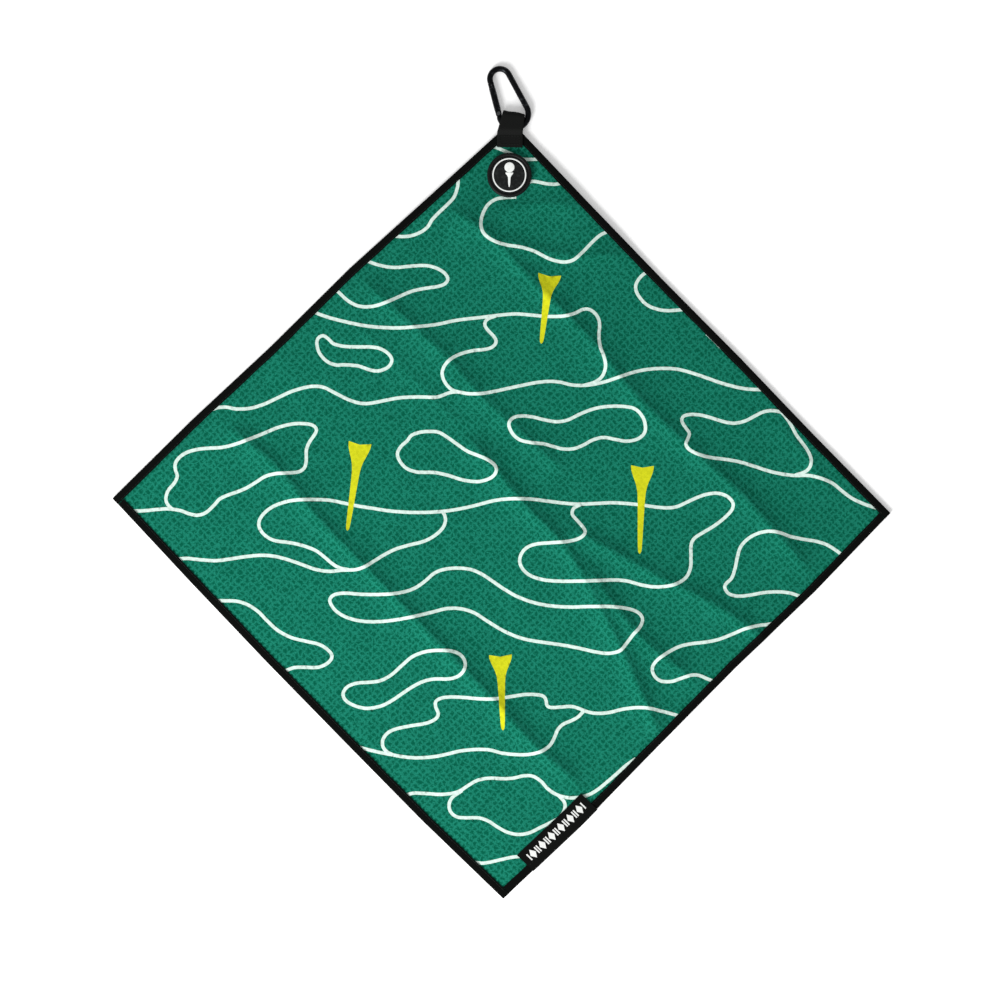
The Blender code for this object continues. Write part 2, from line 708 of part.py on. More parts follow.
cloth_green = new_material("waffle_cloth_green", (0.008, 0.178, 0.115), 0.9)
tape_black = new_material("binding_tape_black", (0.008, 0.009, 0.008), 0.85)
thread_black = new_material("thread_black", (0.012, 0.012, 0.012), 0.7)
webbing_black = new_material("webbing_black", (0.010, 0.010, 0.010), 0.75)
label_black = new_material("woven_label_black", (0.006, 0.006, 0.007), 0.7)
anodised_black = new_material("anodised_black", (0.015, 0.015, 0.016), 0.35, 1.0)
steel = new_material("plated_steel", (0.30, 0.30, 0.31), 0.3, 1.0)
rubber_black = new_material("rubber_black", (0.012, 0.013, 0.013), 0.6)
emblem_black = new_material("emblem_rubber_black", (0.016, 0.017, 0.017), 0.55)
nickel = new_material("nickel_plate", (0.60, 0.58, 0.54), 0.25, 1.0)

build_towel()
build_label()
build_webbing()
swing_axis = build_swing_axis()
build_gate(swing_axis, build_frame(swing_axis))
build_patch()
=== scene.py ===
"""The golf towel's finished look: cloth, print, tape, label, strap, carabiner and magnet patch.

Metres, +Z up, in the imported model's own frame. z = 0 is the plane that the towel lies on, the
origin is under the middle of the magnet patch, and +Y runs along the towel's diagonal towards
the corner with the strap.
"""

from __future__ import annotations

import json
import logging
import math
from abc import ABC, abstractmethod
from collections.abc import Callable, Iterator, Sequence
from contextlib import contextmanager
from dataclasses import dataclass, field
from enum import Enum

import bmesh
import bpy
import numpy as np
from mathutils import Matrix, Vector, geometry, kdtree
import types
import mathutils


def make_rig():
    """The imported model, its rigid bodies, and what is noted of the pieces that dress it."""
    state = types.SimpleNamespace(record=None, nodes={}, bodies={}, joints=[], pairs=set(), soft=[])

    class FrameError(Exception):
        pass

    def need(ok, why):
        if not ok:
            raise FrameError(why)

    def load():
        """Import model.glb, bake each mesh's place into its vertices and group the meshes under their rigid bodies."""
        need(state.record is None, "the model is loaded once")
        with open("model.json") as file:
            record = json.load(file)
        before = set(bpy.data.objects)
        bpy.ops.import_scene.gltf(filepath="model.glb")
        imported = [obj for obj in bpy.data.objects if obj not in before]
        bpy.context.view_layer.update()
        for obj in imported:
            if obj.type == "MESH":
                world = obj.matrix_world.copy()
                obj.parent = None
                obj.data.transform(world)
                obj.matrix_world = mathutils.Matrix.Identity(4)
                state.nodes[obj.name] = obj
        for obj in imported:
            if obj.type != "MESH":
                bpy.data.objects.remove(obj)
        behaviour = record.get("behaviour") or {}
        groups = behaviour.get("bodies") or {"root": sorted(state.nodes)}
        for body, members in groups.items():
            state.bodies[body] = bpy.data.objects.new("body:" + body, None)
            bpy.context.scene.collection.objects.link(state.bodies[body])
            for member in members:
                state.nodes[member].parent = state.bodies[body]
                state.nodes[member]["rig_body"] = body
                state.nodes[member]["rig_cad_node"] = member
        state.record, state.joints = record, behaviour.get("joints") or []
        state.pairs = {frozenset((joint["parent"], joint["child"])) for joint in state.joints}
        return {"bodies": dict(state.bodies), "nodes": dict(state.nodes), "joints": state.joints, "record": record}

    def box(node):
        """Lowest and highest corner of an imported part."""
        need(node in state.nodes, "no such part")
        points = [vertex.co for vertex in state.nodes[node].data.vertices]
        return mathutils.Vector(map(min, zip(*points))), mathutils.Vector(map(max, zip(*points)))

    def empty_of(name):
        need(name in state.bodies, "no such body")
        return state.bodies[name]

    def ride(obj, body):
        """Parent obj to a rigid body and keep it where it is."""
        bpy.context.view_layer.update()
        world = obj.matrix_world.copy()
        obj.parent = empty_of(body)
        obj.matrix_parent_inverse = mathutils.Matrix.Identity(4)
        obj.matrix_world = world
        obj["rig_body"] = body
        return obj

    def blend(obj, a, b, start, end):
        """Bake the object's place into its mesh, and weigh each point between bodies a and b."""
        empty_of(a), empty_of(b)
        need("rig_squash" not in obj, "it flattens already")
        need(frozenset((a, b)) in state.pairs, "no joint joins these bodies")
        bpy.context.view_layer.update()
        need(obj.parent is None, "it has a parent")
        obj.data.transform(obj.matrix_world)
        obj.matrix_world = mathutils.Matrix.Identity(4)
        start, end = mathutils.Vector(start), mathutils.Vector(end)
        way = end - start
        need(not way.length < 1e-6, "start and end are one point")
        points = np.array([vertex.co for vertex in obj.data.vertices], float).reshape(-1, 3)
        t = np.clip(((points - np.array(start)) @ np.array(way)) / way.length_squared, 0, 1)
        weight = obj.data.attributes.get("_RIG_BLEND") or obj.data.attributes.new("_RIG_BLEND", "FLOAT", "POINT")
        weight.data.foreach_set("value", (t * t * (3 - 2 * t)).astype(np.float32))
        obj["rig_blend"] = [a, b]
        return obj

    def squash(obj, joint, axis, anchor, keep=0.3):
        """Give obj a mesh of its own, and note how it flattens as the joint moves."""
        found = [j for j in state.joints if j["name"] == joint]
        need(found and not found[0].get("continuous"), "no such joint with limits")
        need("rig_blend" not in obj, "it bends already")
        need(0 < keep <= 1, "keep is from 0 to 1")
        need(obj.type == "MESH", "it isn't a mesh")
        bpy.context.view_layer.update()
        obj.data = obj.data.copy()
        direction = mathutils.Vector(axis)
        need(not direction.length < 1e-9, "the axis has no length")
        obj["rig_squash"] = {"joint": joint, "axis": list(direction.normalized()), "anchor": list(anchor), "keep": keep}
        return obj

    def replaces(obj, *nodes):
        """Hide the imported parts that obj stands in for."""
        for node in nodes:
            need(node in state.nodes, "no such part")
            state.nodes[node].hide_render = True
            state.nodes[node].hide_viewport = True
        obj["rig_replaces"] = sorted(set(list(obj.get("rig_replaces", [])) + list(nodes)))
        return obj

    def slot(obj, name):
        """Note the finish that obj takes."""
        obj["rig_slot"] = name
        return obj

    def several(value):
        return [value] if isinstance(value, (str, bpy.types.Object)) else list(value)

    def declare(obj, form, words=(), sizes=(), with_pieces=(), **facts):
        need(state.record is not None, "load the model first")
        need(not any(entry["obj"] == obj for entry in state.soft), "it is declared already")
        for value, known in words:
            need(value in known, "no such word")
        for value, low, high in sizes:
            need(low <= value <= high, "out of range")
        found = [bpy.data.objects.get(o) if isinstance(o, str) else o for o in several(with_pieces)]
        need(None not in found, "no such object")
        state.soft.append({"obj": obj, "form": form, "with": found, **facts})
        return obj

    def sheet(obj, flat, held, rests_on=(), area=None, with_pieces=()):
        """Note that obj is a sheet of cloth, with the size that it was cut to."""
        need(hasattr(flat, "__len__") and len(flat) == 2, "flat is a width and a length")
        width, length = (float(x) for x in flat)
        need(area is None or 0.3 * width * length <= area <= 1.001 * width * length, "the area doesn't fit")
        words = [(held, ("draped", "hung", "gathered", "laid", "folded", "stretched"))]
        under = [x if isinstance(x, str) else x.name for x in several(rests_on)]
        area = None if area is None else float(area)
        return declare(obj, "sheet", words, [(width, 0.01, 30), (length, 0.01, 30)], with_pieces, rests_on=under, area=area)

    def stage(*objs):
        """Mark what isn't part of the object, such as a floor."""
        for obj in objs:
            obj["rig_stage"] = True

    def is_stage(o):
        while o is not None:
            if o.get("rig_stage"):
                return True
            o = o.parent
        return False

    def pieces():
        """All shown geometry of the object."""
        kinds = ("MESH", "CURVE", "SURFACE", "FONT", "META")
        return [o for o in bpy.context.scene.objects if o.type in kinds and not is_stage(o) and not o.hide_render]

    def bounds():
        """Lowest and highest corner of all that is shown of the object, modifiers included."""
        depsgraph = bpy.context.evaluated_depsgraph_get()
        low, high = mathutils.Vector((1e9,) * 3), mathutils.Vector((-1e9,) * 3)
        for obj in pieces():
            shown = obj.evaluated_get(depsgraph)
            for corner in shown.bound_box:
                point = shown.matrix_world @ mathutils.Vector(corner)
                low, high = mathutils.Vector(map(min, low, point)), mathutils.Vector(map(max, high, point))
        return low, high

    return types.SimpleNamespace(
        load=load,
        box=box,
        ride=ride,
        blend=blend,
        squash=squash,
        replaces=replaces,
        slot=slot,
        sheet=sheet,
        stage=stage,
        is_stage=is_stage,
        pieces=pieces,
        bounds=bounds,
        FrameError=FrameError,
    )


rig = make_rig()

MM = 0.001
MERGE = 0.001 * MM
SIZE_FILE = "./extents.json"
ROOT_HALF = math.sqrt(0.5)
Point = tuple[float, float]
Piece = bpy.types.Object
Tree = bpy.types.NodeTree
Socket = bpy.types.NodeSocket
Materials = dict[str, bpy.types.Material]

log = logging.getLogger("golf_towel")


# --- Materials ---------------------------------------------


def linear(code: str) -> tuple[float, float, float, float]:
    """Turns an sRGB hex colour to linear.

    Args:
        code: The colour as "#rrggbb".

    Returns:
        Red, green, blue and an alpha of 1.
    """
    channels = [int(code[i : i + 2], 16) / 255 for i in (1, 3, 5)]
    bent = [c / 12.92 if c <= 0.04045 else ((c + 0.055) / 1.055) ** 2.4 for c in channels]
    return (*bent, 1.0)


def add_node(tree: Tree, kind: str, inputs: dict | None = None, **settings) -> bpy.types.Node:
    """Adds a node with its settings, values and links.

    Args:
        tree: The material's node tree.
        kind: The node's type name.
        inputs: A value or an output socket for each named or numbered input.
        **settings: The node's own properties.

    Returns:
        The new node.
    """
    made = tree.nodes.new(kind)
    for name, value in settings.items():
        setattr(made, name, value)
    for key, value in (inputs or {}).items():
        if isinstance(value, Socket):
            tree.links.new(value, made.inputs[key])
        else:
            made.inputs[key].default_value = value
    return made


def mix_colours(tree: Tree, share, low, high, blend: str = "MIX") -> Socket:
    """Mixes two colours by a share, each a value or a socket, and returns the colour socket."""
    made = add_node(tree, "ShaderNodeMix", {0: share, 6: low, 7: high}, data_type="RGBA", blend_type=blend)
    return made.outputs[2]


def maths(tree: Tree, operation: str, *values) -> Socket:
    """Adds one arithmetic step on values or sockets and returns its result socket."""
    made = add_node(tree, "ShaderNodeMath", dict(enumerate(values)), operation=operation)
    return made.outputs[0]


def noise(tree: Tree, place, size: float, detail: float = 2.0) -> Socket:
    """Adds a noise whose features are about `size` metres across and returns its value socket."""
    inputs = {"Vector": place, "Scale": 1 / size, "Detail": detail}
    return add_node(tree, "ShaderNodeTexNoise", inputs).outputs["Fac"]


@dataclass(frozen=True)
class Finish(ABC):
    """A surface finish. Its Principled values are constant and set on the shader itself."""

    name: str
    colour: str
    roughness: float = 0.8
    metallic: float = 0.0
    specular: float = 0.06

    def start(self) -> tuple[bpy.types.Material, Tree, bpy.types.Node, Socket]:
        """Makes the material with its shader.

        Returns:
            The material, its node tree, its Principled shader and the object coordinates.
        """
        material = bpy.data.materials.new(self.name)
        material.use_nodes = True
        tree = material.node_tree
        shader = tree.nodes["Principled BSDF"]
        shader.inputs["Base Color"].default_value = linear(self.colour)
        shader.inputs["Roughness"].default_value = self.roughness
        shader.inputs["Metallic"].default_value = self.metallic
        shader.inputs["Specular IOR Level"].default_value = self.specular
        material.diffuse_color = linear(self.colour)
        place = add_node(tree, "ShaderNodeTexCoord").outputs["Object"]
        return material, tree, shader, place

    @staticmethod
    def relief(tree: Tree, shader: bpy.types.Node, height, depth: float) -> None:
        """Gives the shader a bump of this depth in metres.

        Args:
            tree: The material's node tree.
            shader: The shader to bump.
            height: The height socket, 0 to 1.
            depth: How deep the bump is.
        """
        bump = add_node(tree, "ShaderNodeBump", {"Height": height, "Distance": depth, "Strength": 1.0})
        tree.links.new(bump.outputs["Normal"], shader.inputs["Normal"])

    @abstractmethod
    def material(self) -> bpy.types.Material:
        """Makes the finish's material."""


@dataclass(frozen=True)
class WaffleMicrofibre(Finish):
    """Waffle-weave microfibre, dyed through its face: matt tufts, with painted shade that darkens the colour where a
    cell dips.
    """

    pit: str = "#004a36"
    roughness: float = 0.95
    tuft_size: float = 0.9 * MM
    mottle_size: float = 16 * MM
    waver: float = 0.75
    waver_scale: float = 0.9
    tuft_gain: float = 2.2
    dyed_from: float = -0.1
    dyed_to: float = 0.75
    mottle_spread: float = 0.24
    tuft_depth: float = 0.12 * MM

    def material(self) -> bpy.types.Material:
        """Makes the cloth's material. Its "weave" attribute counts the cells along both edges."""
        made, tree, shader, place = self.start()
        weave = add_node(tree, "ShaderNodeAttribute", attribute_name="weave").outputs["Vector"]
        drifting = {"Vector": weave, "Scale": self.waver_scale, "Detail": 2.0}
        drift = add_node(tree, "ShaderNodeTexNoise", drifting)
        middled = {0: drift.outputs["Color"], 1: (0.5, 0.5, 0.5)}
        centred = add_node(tree, "ShaderNodeVectorMath", middled, operation="SUBTRACT").outputs[0]
        shift = {0: centred, 1: (self.waver * 2,) * 3, 2: weave}
        wavered = add_node(tree, "ShaderNodeVectorMath", shift, operation="MULTIPLY_ADD").outputs[0]
        cell = add_node(tree, "ShaderNodeSeparateXYZ", {0: wavered})
        sides = [maths(tree, "PINGPONG", cell.outputs[axis], 0.5) for axis in (0, 1)]
        dip = maths(tree, "MULTIPLY", maths(tree, "MINIMUM", *sides), 2.0)
        tufts = noise(tree, place, self.tuft_size, 3.0)
        uneven = maths(tree, "MULTIPLY_ADD", tufts, self.tuft_gain, -self.tuft_gain / 2)
        broken = maths(tree, "ADD", dip, uneven)
        # Painted shade: the colour darkens towards the pit colour in the middle of each cell's dip
        sunk = {"Value": broken, "From Min": self.dyed_from, "From Max": self.dyed_to}
        share = add_node(tree, "ShaderNodeMapRange", sunk, interpolation_type="SMOOTHSTEP").outputs["Result"]
        dye_and_pit_shade = mix_colours(tree, share, linear(self.colour), linear(self.pit))
        patches = noise(tree, place, self.mottle_size)
        mottle = maths(tree, "MULTIPLY_ADD", patches, self.mottle_spread, 1 - self.mottle_spread / 2)
        tone = add_node(tree, "ShaderNodeCombineColor", {0: mottle, 1: mottle, 2: mottle}).outputs[0]
        tree.links.new(mix_colours(tree, 1.0, dye_and_pit_shade, tone, "MULTIPLY"), shader.inputs["Base Color"])
        self.relief(tree, shader, tufts, self.tuft_depth)
        return made


@dataclass(frozen=True)
class WovenTape(Finish):
    """Grosgrain polyester: fine ribs across the tape, which catch the light as a dull sheen."""

    rib: float = 0.75 * MM
    # The lighter colour painted on the rib crests as their sheen
    worn: str = "#0c0e0d"
    turn: float = math.radians(45)

    def material(self) -> bpy.types.Material:
        """Makes the tape's material, ribbed both ways of the cloth's 45 degree grain."""
        made, tree, shader, place = self.start()
        turned = add_node(tree, "ShaderNodeMapping", {"Vector": place, "Rotation": (0, 0, self.turn)})
        ribs = []
        for axis in ("X", "Y"):
            wave = {"Vector": turned.outputs[0], "Scale": 1 / self.rib / 2, "Distortion": 0.4}
            ribs.append(add_node(tree, "ShaderNodeTexWave", wave, bands_direction=axis).outputs["Fac"])
        weave = maths(tree, "MULTIPLY", *ribs)
        # Painted sheen: the rib crests are mixed towards the lighter colour
        shade = mix_colours(tree, weave, linear(self.colour), linear(self.worn))
        tree.links.new(shade, shader.inputs["Base Color"])
        self.relief(tree, shader, weave, 0.1 * MM)
        return made


@dataclass(frozen=True)
class FilamentYarn(Finish):
    """Continuous filament yarn, as in thread, webbing and label: smooth, with a twist that glints."""

    yarn: float = 0.3 * MM
    depth: float = 0.05 * MM
    specular: float = 0.1

    def material(self) -> bpy.types.Material:
        """Makes the yarn's material: fine filaments with a slight change of tone."""
        made, tree, shader, place = self.start()
        strands = noise(tree, place, self.yarn, 4.0)
        base = linear(self.colour)
        lighter = (*[min(c * 1.5 + 0.002, 1.0) for c in base[:3]], 1.0)
        tree.links.new(mix_colours(tree, strands, base, lighter), shader.inputs["Base Color"])
        self.relief(tree, shader, strands, self.depth)
        return made


@dataclass(frozen=True)
class DamaskWeave(Finish):
    """Damask label cloth: very fine weft lines across the label, drawn twice too coarse to show."""

    pick: float = 0.5 * MM
    turn: float = math.radians(45)

    def material(self) -> bpy.types.Material:
        """Makes the label's material, its weft lines along the label's short side."""
        made, tree, shader, place = self.start()
        turned = add_node(tree, "ShaderNodeMapping", {"Vector": place, "Rotation": (0, 0, self.turn)})
        wave = {"Vector": turned.outputs[0], "Scale": 1 / self.pick / 2, "Distortion": 0.2}
        picks = add_node(tree, "ShaderNodeTexWave", wave, bands_direction="X").outputs["Fac"]
        base = linear(self.colour)
        darker = (*[c * 0.72 for c in base[:3]], 1.0)
        tree.links.new(mix_colours(tree, picks, darker, base), shader.inputs["Base Color"])
        self.relief(tree, shader, picks, 0.05 * MM)
        return made


@dataclass(frozen=True)
class AnodisedAluminium(Finish):
    """Black anodised aluminium: a satin metal skin, rubbed a little greyer in patches."""

    metallic: float = 1.0
    roughness: float = 0.38
    rubbed: str = "#4a4d50"

    def material(self) -> bpy.types.Material:
        """Makes the metal's material, with rubbed patches and a fine blasted grain."""
        made, tree, shader, place = self.start()
        patches = noise(tree, place, 3.0 * MM, 4.0)
        rubbing = {"Value": patches, "From Min": 0.56, "From Max": 0.8}
        worn = add_node(tree, "ShaderNodeMapRange", rubbing).outputs["Result"]
        tone = mix_colours(tree, worn, linear(self.colour), linear(self.rubbed))
        tree.links.new(tone, shader.inputs["Base Color"])
        rough = maths(tree, "MULTIPLY_ADD", patches, 0.25, self.roughness - 0.12)
        tree.links.new(rough, shader.inputs["Roughness"])
        self.relief(tree, shader, noise(tree, place, 0.15 * MM), 0.01 * MM)
        return made


@dataclass(frozen=True)
class PlatedMetal(Finish):
    """Nickel or zinc plate over steel: bright, with a faint cloudiness in its gloss."""

    metallic: float = 1.0
    roughness: float = 0.28

    def material(self) -> bpy.types.Material:
        """Makes the plate's material, its roughness clouded a little."""
        made, tree, shader, place = self.start()
        cloud = noise(tree, place, 2.0 * MM, 3.0)
        rough = maths(tree, "MULTIPLY_ADD", cloud, 0.2, self.roughness - 0.1)
        tree.links.new(rough, shader.inputs["Roughness"])
        self.relief(tree, shader, noise(tree, place, 0.4 * MM), 0.005 * MM)
        return made


@dataclass(frozen=True)
class MouldedRubber(Finish):
    """Moulded silicone rubber: a soft satin black with a sparked mould grain and lint on it."""

    specular: float = 0.15
    grain: float = 0.45 * MM
    lint_size: float = 2.6 * MM
    dust: str = "#1c1e1e"

    def material(self) -> bpy.types.Material:
        """Makes the rubber's material: mould grain in the bump, dusty patches in the colour."""
        made, tree, shader, place = self.start()
        speckle = noise(tree, place, self.grain, 3.0)
        lint = {"Value": noise(tree, place, self.lint_size, 5.0), "From Min": 0.5, "From Max": 0.95}
        dusty = add_node(tree, "ShaderNodeMapRange", lint).outputs["Result"]
        tone = mix_colours(tree, dusty, linear(self.colour), linear(self.dust))
        tree.links.new(tone, shader.inputs["Base Color"])
        self.relief(tree, shader, speckle, 0.05 * MM)
        return made


@dataclass(frozen=True)
class Finishes:
    """Every finish of the towel, made once."""

    # Each microfibre's pit colour is a painted shade for the dips of its cells
    green: Finish = WaffleMicrofibre("microfibre_green", "#187661", pit="#00533e")
    white: Finish = WaffleMicrofibre("microfibre_white_dye", "#ccdfd7", pit="#c2d5cc")
    yellow: Finish = WaffleMicrofibre("microfibre_yellow_dye", "#c8ca1e", pit="#bcbf1b")
    back: Finish = WaffleMicrofibre("microfibre_back", "#27806b", pit="#06503c")
    tape: Finish = WovenTape("grosgrain_black", "#040504", roughness=0.85)
    thread: Finish = FilamentYarn("polyester_thread_black", "#131513", roughness=0.55)
    webbing: Finish = FilamentYarn("nylon_webbing_black", "#080908", roughness=0.6, yarn=0.4 * MM)
    label: Finish = DamaskWeave("damask_black", "#0a0b0a", roughness=0.65)
    motif: Finish = DamaskWeave("damask_white", "#e9ebe8", roughness=0.6)
    anodised: Finish = AnodisedAluminium("anodised_aluminium_black", "#17181a")
    steel: Finish = PlatedMetal("black_zinc_steel", "#56585a")
    nickel: Finish = PlatedMetal("nickel_plate", "#c9c4b8", roughness=0.2)
    rubber: Finish = MouldedRubber("silicone_black", "#0b0c0c", roughness=0.5)
    emblem: Finish = MouldedRubber("emblem_silicone_black", "#0f1111", roughness=0.55, dust="#303433")
    ink: Finish = MouldedRubber("emblem_white", "#e6e9e6", roughness=0.5, dust="#c3c8c4")


def make_materials(finishes: Finishes) -> Materials:
    """Makes each finish's material, by the finish's short name."""
    return {name: getattr(finishes, name).material() for name in Finishes.__dataclass_fields__}


# --- Mesh helpers ------------------------------------------


def object_from(name: str, points: np.ndarray, faces: Sequence[Sequence[int]]) -> Piece:
    """Makes an object at the origin from points and faces.

    Args:
        name: The piece's name.
        points: Its vertices, in metres.
        faces: The vertex numbers of each face.

    Returns:
        The new object, in the scene.
    """
    mesh = bpy.data.meshes.new(name)
    mesh.from_pydata([tuple(p) for p in points], [], [tuple(f) for f in faces])
    made = bpy.data.objects.new(name, mesh)
    bpy.context.scene.collection.objects.link(made)
    return made


def tidy(piece: Piece, angle: float | None = None) -> Piece:
    """Merges a piece's doubles, turns its faces outwards and shades it smooth.

    Args:
        piece: The piece to finish.
        angle: Edges sharper than this, in degrees, stay sharp. None shades all of it smooth.

    Returns:
        The same piece.
    """
    shape = bmesh.new()
    shape.from_mesh(piece.data)
    bmesh.ops.remove_doubles(shape, verts=shape.verts, dist=MERGE)
    bmesh.ops.recalc_face_normals(shape, faces=shape.faces)
    shape.to_mesh(piece.data)
    shape.free()
    piece.data.shade_smooth()
    if angle is not None:
        piece.data.set_sharp_from_angle(angle=math.radians(angle))
    return piece


def cut_away(piece: Piece, point: Sequence[float], outward: Sequence[float]) -> None:
    """Cuts off what lies beyond a plane and closes the cut.

    Args:
        piece: The closed piece to cut.
        point: A point of the plane.
        outward: The plane's normal, towards what goes.
    """
    shape = bmesh.new()
    shape.from_mesh(piece.data)
    whole = shape.verts[:] + shape.edges[:] + shape.faces[:]
    cut = bmesh.ops.bisect_plane(
        shape, geom=whole, dist=MERGE, plane_co=point, plane_no=outward, clear_outer=True
    )
    rim = [part for part in cut["geom_cut"] if isinstance(part, bmesh.types.BMEdge)]
    bmesh.ops.edgeloop_fill(shape, edges=rim)
    shape.to_mesh(piece.data)
    shape.free()


def closed_sweep(name: str, rings: np.ndarray) -> Piece:
    """Joins rings of points into one closed solid with flat ends.

    Args:
        name: The piece's name.
        rings: Points as (stations, points in a ring, 3).

    Returns:
        The new object.
    """
    stations, count = rings.shape[:2]
    faces = []
    for i in range(stations - 1):
        for j in range(count):
            k = (j + 1) % count
            faces.append((i * count + j, i * count + k, (i + 1) * count + k, (i + 1) * count + j))
    faces.append(tuple(reversed(range(count))))
    faces.append(tuple((stations - 1) * count + j for j in range(count)))
    return tidy(object_from(name, rings.reshape(-1, 3), faces), angle=50)


def smooth_path(points: Sequence[Point], closed: bool, spacing: float) -> np.ndarray:
    """Runs a smooth curve through given points.

    Args:
        points: The points, in any unit.
        closed: Whether the curve comes back to its start.
        spacing: The distance between the points that come out, in the same unit.

    Returns:
        Evenly spaced points of the curve, as (count, 2). A closed one doesn't repeat its first.
    """
    knots = np.array(points, float)
    if closed:
        knots = np.vstack([knots[-1], knots, knots[0], knots[1]])
    else:
        knots = np.vstack([2 * knots[0] - knots[1], knots, 2 * knots[-1] - knots[-2]])
    share = np.linspace(0, 1, 24, endpoint=False)[:, None]
    runs = []
    for a, b, c, d in zip(knots, knots[1:], knots[2:], knots[3:]):
        curve = 2 * b + (c - a) * share + (2 * a - 5 * b + 4 * c - d) * share**2
        runs.append((curve + (3 * b - a - 3 * c + d) * share**3) / 2)
    runs.append(knots[-2:-1])
    line = np.vstack(runs)
    along = np.concatenate([[0], np.cumsum(np.linalg.norm(np.diff(line, axis=0), axis=1))])
    steps = max(int(round(along[-1] / spacing)), 2)
    wanted = np.linspace(0, along[-1], steps + 1)
    even = np.column_stack([np.interp(wanted, along, line[:, axis]) for axis in (0, 1)])
    return even[:-1] if closed else even


def ramp(value: np.ndarray) -> np.ndarray:
    """An S-shaped ramp from 0 to 1 over values from 0 to 1, level beyond them."""
    share = np.clip(value, 0, 1)
    return share * share * (3 - 2 * share)


def ripple(x: np.ndarray, y: np.ndarray, length: float, seed: float) -> np.ndarray:
    """Soft irregular waves between 0 and 1.

    Args:
        x: One coordinate of each point.
        y: The other coordinate.
        length: About how long the waves are, in the coordinates' unit.
        seed: Sets which waves they are.

    Returns:
        The waves' value at each point.
    """
    turn = 2 * math.pi / length
    waves = np.sin(turn * (x + 0.6 * y) + 1.7 * seed) + np.sin(turn * (0.7 * y - 0.5 * x) + 2.9 * seed)
    waves += np.sin(turn * (0.37 * x + 0.83 * y) + 4.1 * seed + 1.3 * np.sin(turn * 0.4 * x))
    return waves / 6 + 0.5


# --- Modelling by hand -------------------------------------


@contextmanager
def editing(piece: Piece) -> Iterator[bmesh.types.BMesh]:
    """Opens one piece alone in edit mode and hands over its mesh, for choosing what to shape."""
    if bpy.context.mode != "OBJECT":
        bpy.ops.object.mode_set(mode="OBJECT")
    bpy.ops.object.select_all(action="DESELECT")
    piece.select_set(True)
    bpy.context.view_layer.objects.active = piece
    bpy.ops.object.mode_set(mode="EDIT")
    try:
        yield bmesh.from_edit_mesh(piece.data)
    finally:
        bpy.ops.object.mode_set(mode="OBJECT")


def choose(piece: Piece, kind: str, test: Callable) -> None:
    """Selects the parts of the piece in edit mode that pass a test, and no others.

    Args:
        piece: The piece that is open in edit mode.
        kind: "VERT", "EDGE" or "FACE".
        test: Says whether a vertex, edge or face is wanted.
    """
    bpy.ops.mesh.select_mode(type=kind)
    bpy.ops.mesh.select_all(action="DESELECT")
    shape = bmesh.from_edit_mesh(piece.data)
    parts = {"VERT": shape.verts, "EDGE": shape.edges, "FACE": shape.faces}[kind]
    for part in parts:
        if test(part):
            part.select_set(True)
    shape.select_flush_mode()
    bmesh.update_edit_mesh(piece.data)


def new_primitive(operator: Callable, name: str, **sizes) -> Piece:
    """Adds a primitive by itself and names it.

    Args:
        operator: The operator that adds it.
        name: The object's name.
        **sizes: The operator's own sizes and place.

    Returns:
        The new object, its place and turn already in its mesh.
    """
    bpy.ops.object.select_all(action="DESELECT")
    operator(**sizes)
    made = bpy.context.view_layer.objects.active
    made.name = name
    made.data.name = name
    bpy.ops.object.transform_apply(location=True, rotation=True, scale=True)
    return made


def apply_modifier(piece: Piece, kind: str, **settings) -> Piece:
    """Adds a modifier with these settings and applies it.

    Args:
        piece: The piece to modify.
        kind: The modifier's type.
        **settings: Its settings.

    Returns:
        The same piece.
    """
    bpy.ops.object.select_all(action="DESELECT")
    piece.select_set(True)
    bpy.context.view_layer.objects.active = piece
    modifier = piece.modifiers.new(kind.title(), kind)
    for name, value in settings.items():
        setattr(modifier, name, value)
    bpy.ops.object.modifier_apply(modifier=modifier.name)
    return piece


def carve(piece: Piece, tool: Piece, operation: str) -> None:
    """Cuts, joins or intersects a piece with a tool, which is used up.

    Args:
        piece: The piece that stays.
        tool: The object that shapes it.
        operation: "DIFFERENCE", "UNION" or "INTERSECT".
    """
    apply_modifier(piece, "BOOLEAN", object=tool, operation=operation, solver="EXACT")
    bpy.data.objects.remove(tool)


def bevel_edges(piece: Piece, width: float, segments: int = 2, angle: float = 35) -> None:
    """Rounds a piece's edges that are sharper than an angle in degrees."""
    apply_modifier(
        piece, "BEVEL", width=width, segments=segments, limit_method="ANGLE", angle_limit=math.radians(angle)
    )


def stretch(piece: Piece, value: Sequence[float], centre: Sequence[float]) -> None:
    """Scales all of a piece's mesh about a centre."""
    with editing(piece):
        bpy.ops.mesh.select_all(action="SELECT")
        bpy.ops.transform.resize(value=value, center_override=centre)


def dress(piece: Piece, material: bpy.types.Material) -> Piece:
    """Gives a piece this material alone, and returns the piece."""
    piece.data.materials.clear()
    piece.data.materials.append(material)
    return piece


def copies(name: str, base: Piece, matrices: Sequence[Matrix]) -> Piece:
    """Sets copies of one small shape in a row as one piece. The shape itself is used up.

    Args:
        name: The piece's name.
        base: The shape, modelled about the origin.
        matrices: Where each copy goes.

    Returns:
        One object that holds every copy.
    """
    points = np.array([v.co for v in base.data.vertices])
    faces = [tuple(p.vertices) for p in base.data.polygons]
    placed, every = [], []
    for i, matrix in enumerate(matrices):
        m = np.array(matrix)
        placed.append(points @ m[:3, :3].T + m[:3, 3])
        every += [tuple(v + i * len(points) for v in face) for face in faces]
    bpy.data.objects.remove(base)
    made = object_from(name, np.vstack(placed), every)
    made.data.shade_smooth()
    return made


# --- How the cloth lies ------------------------------------


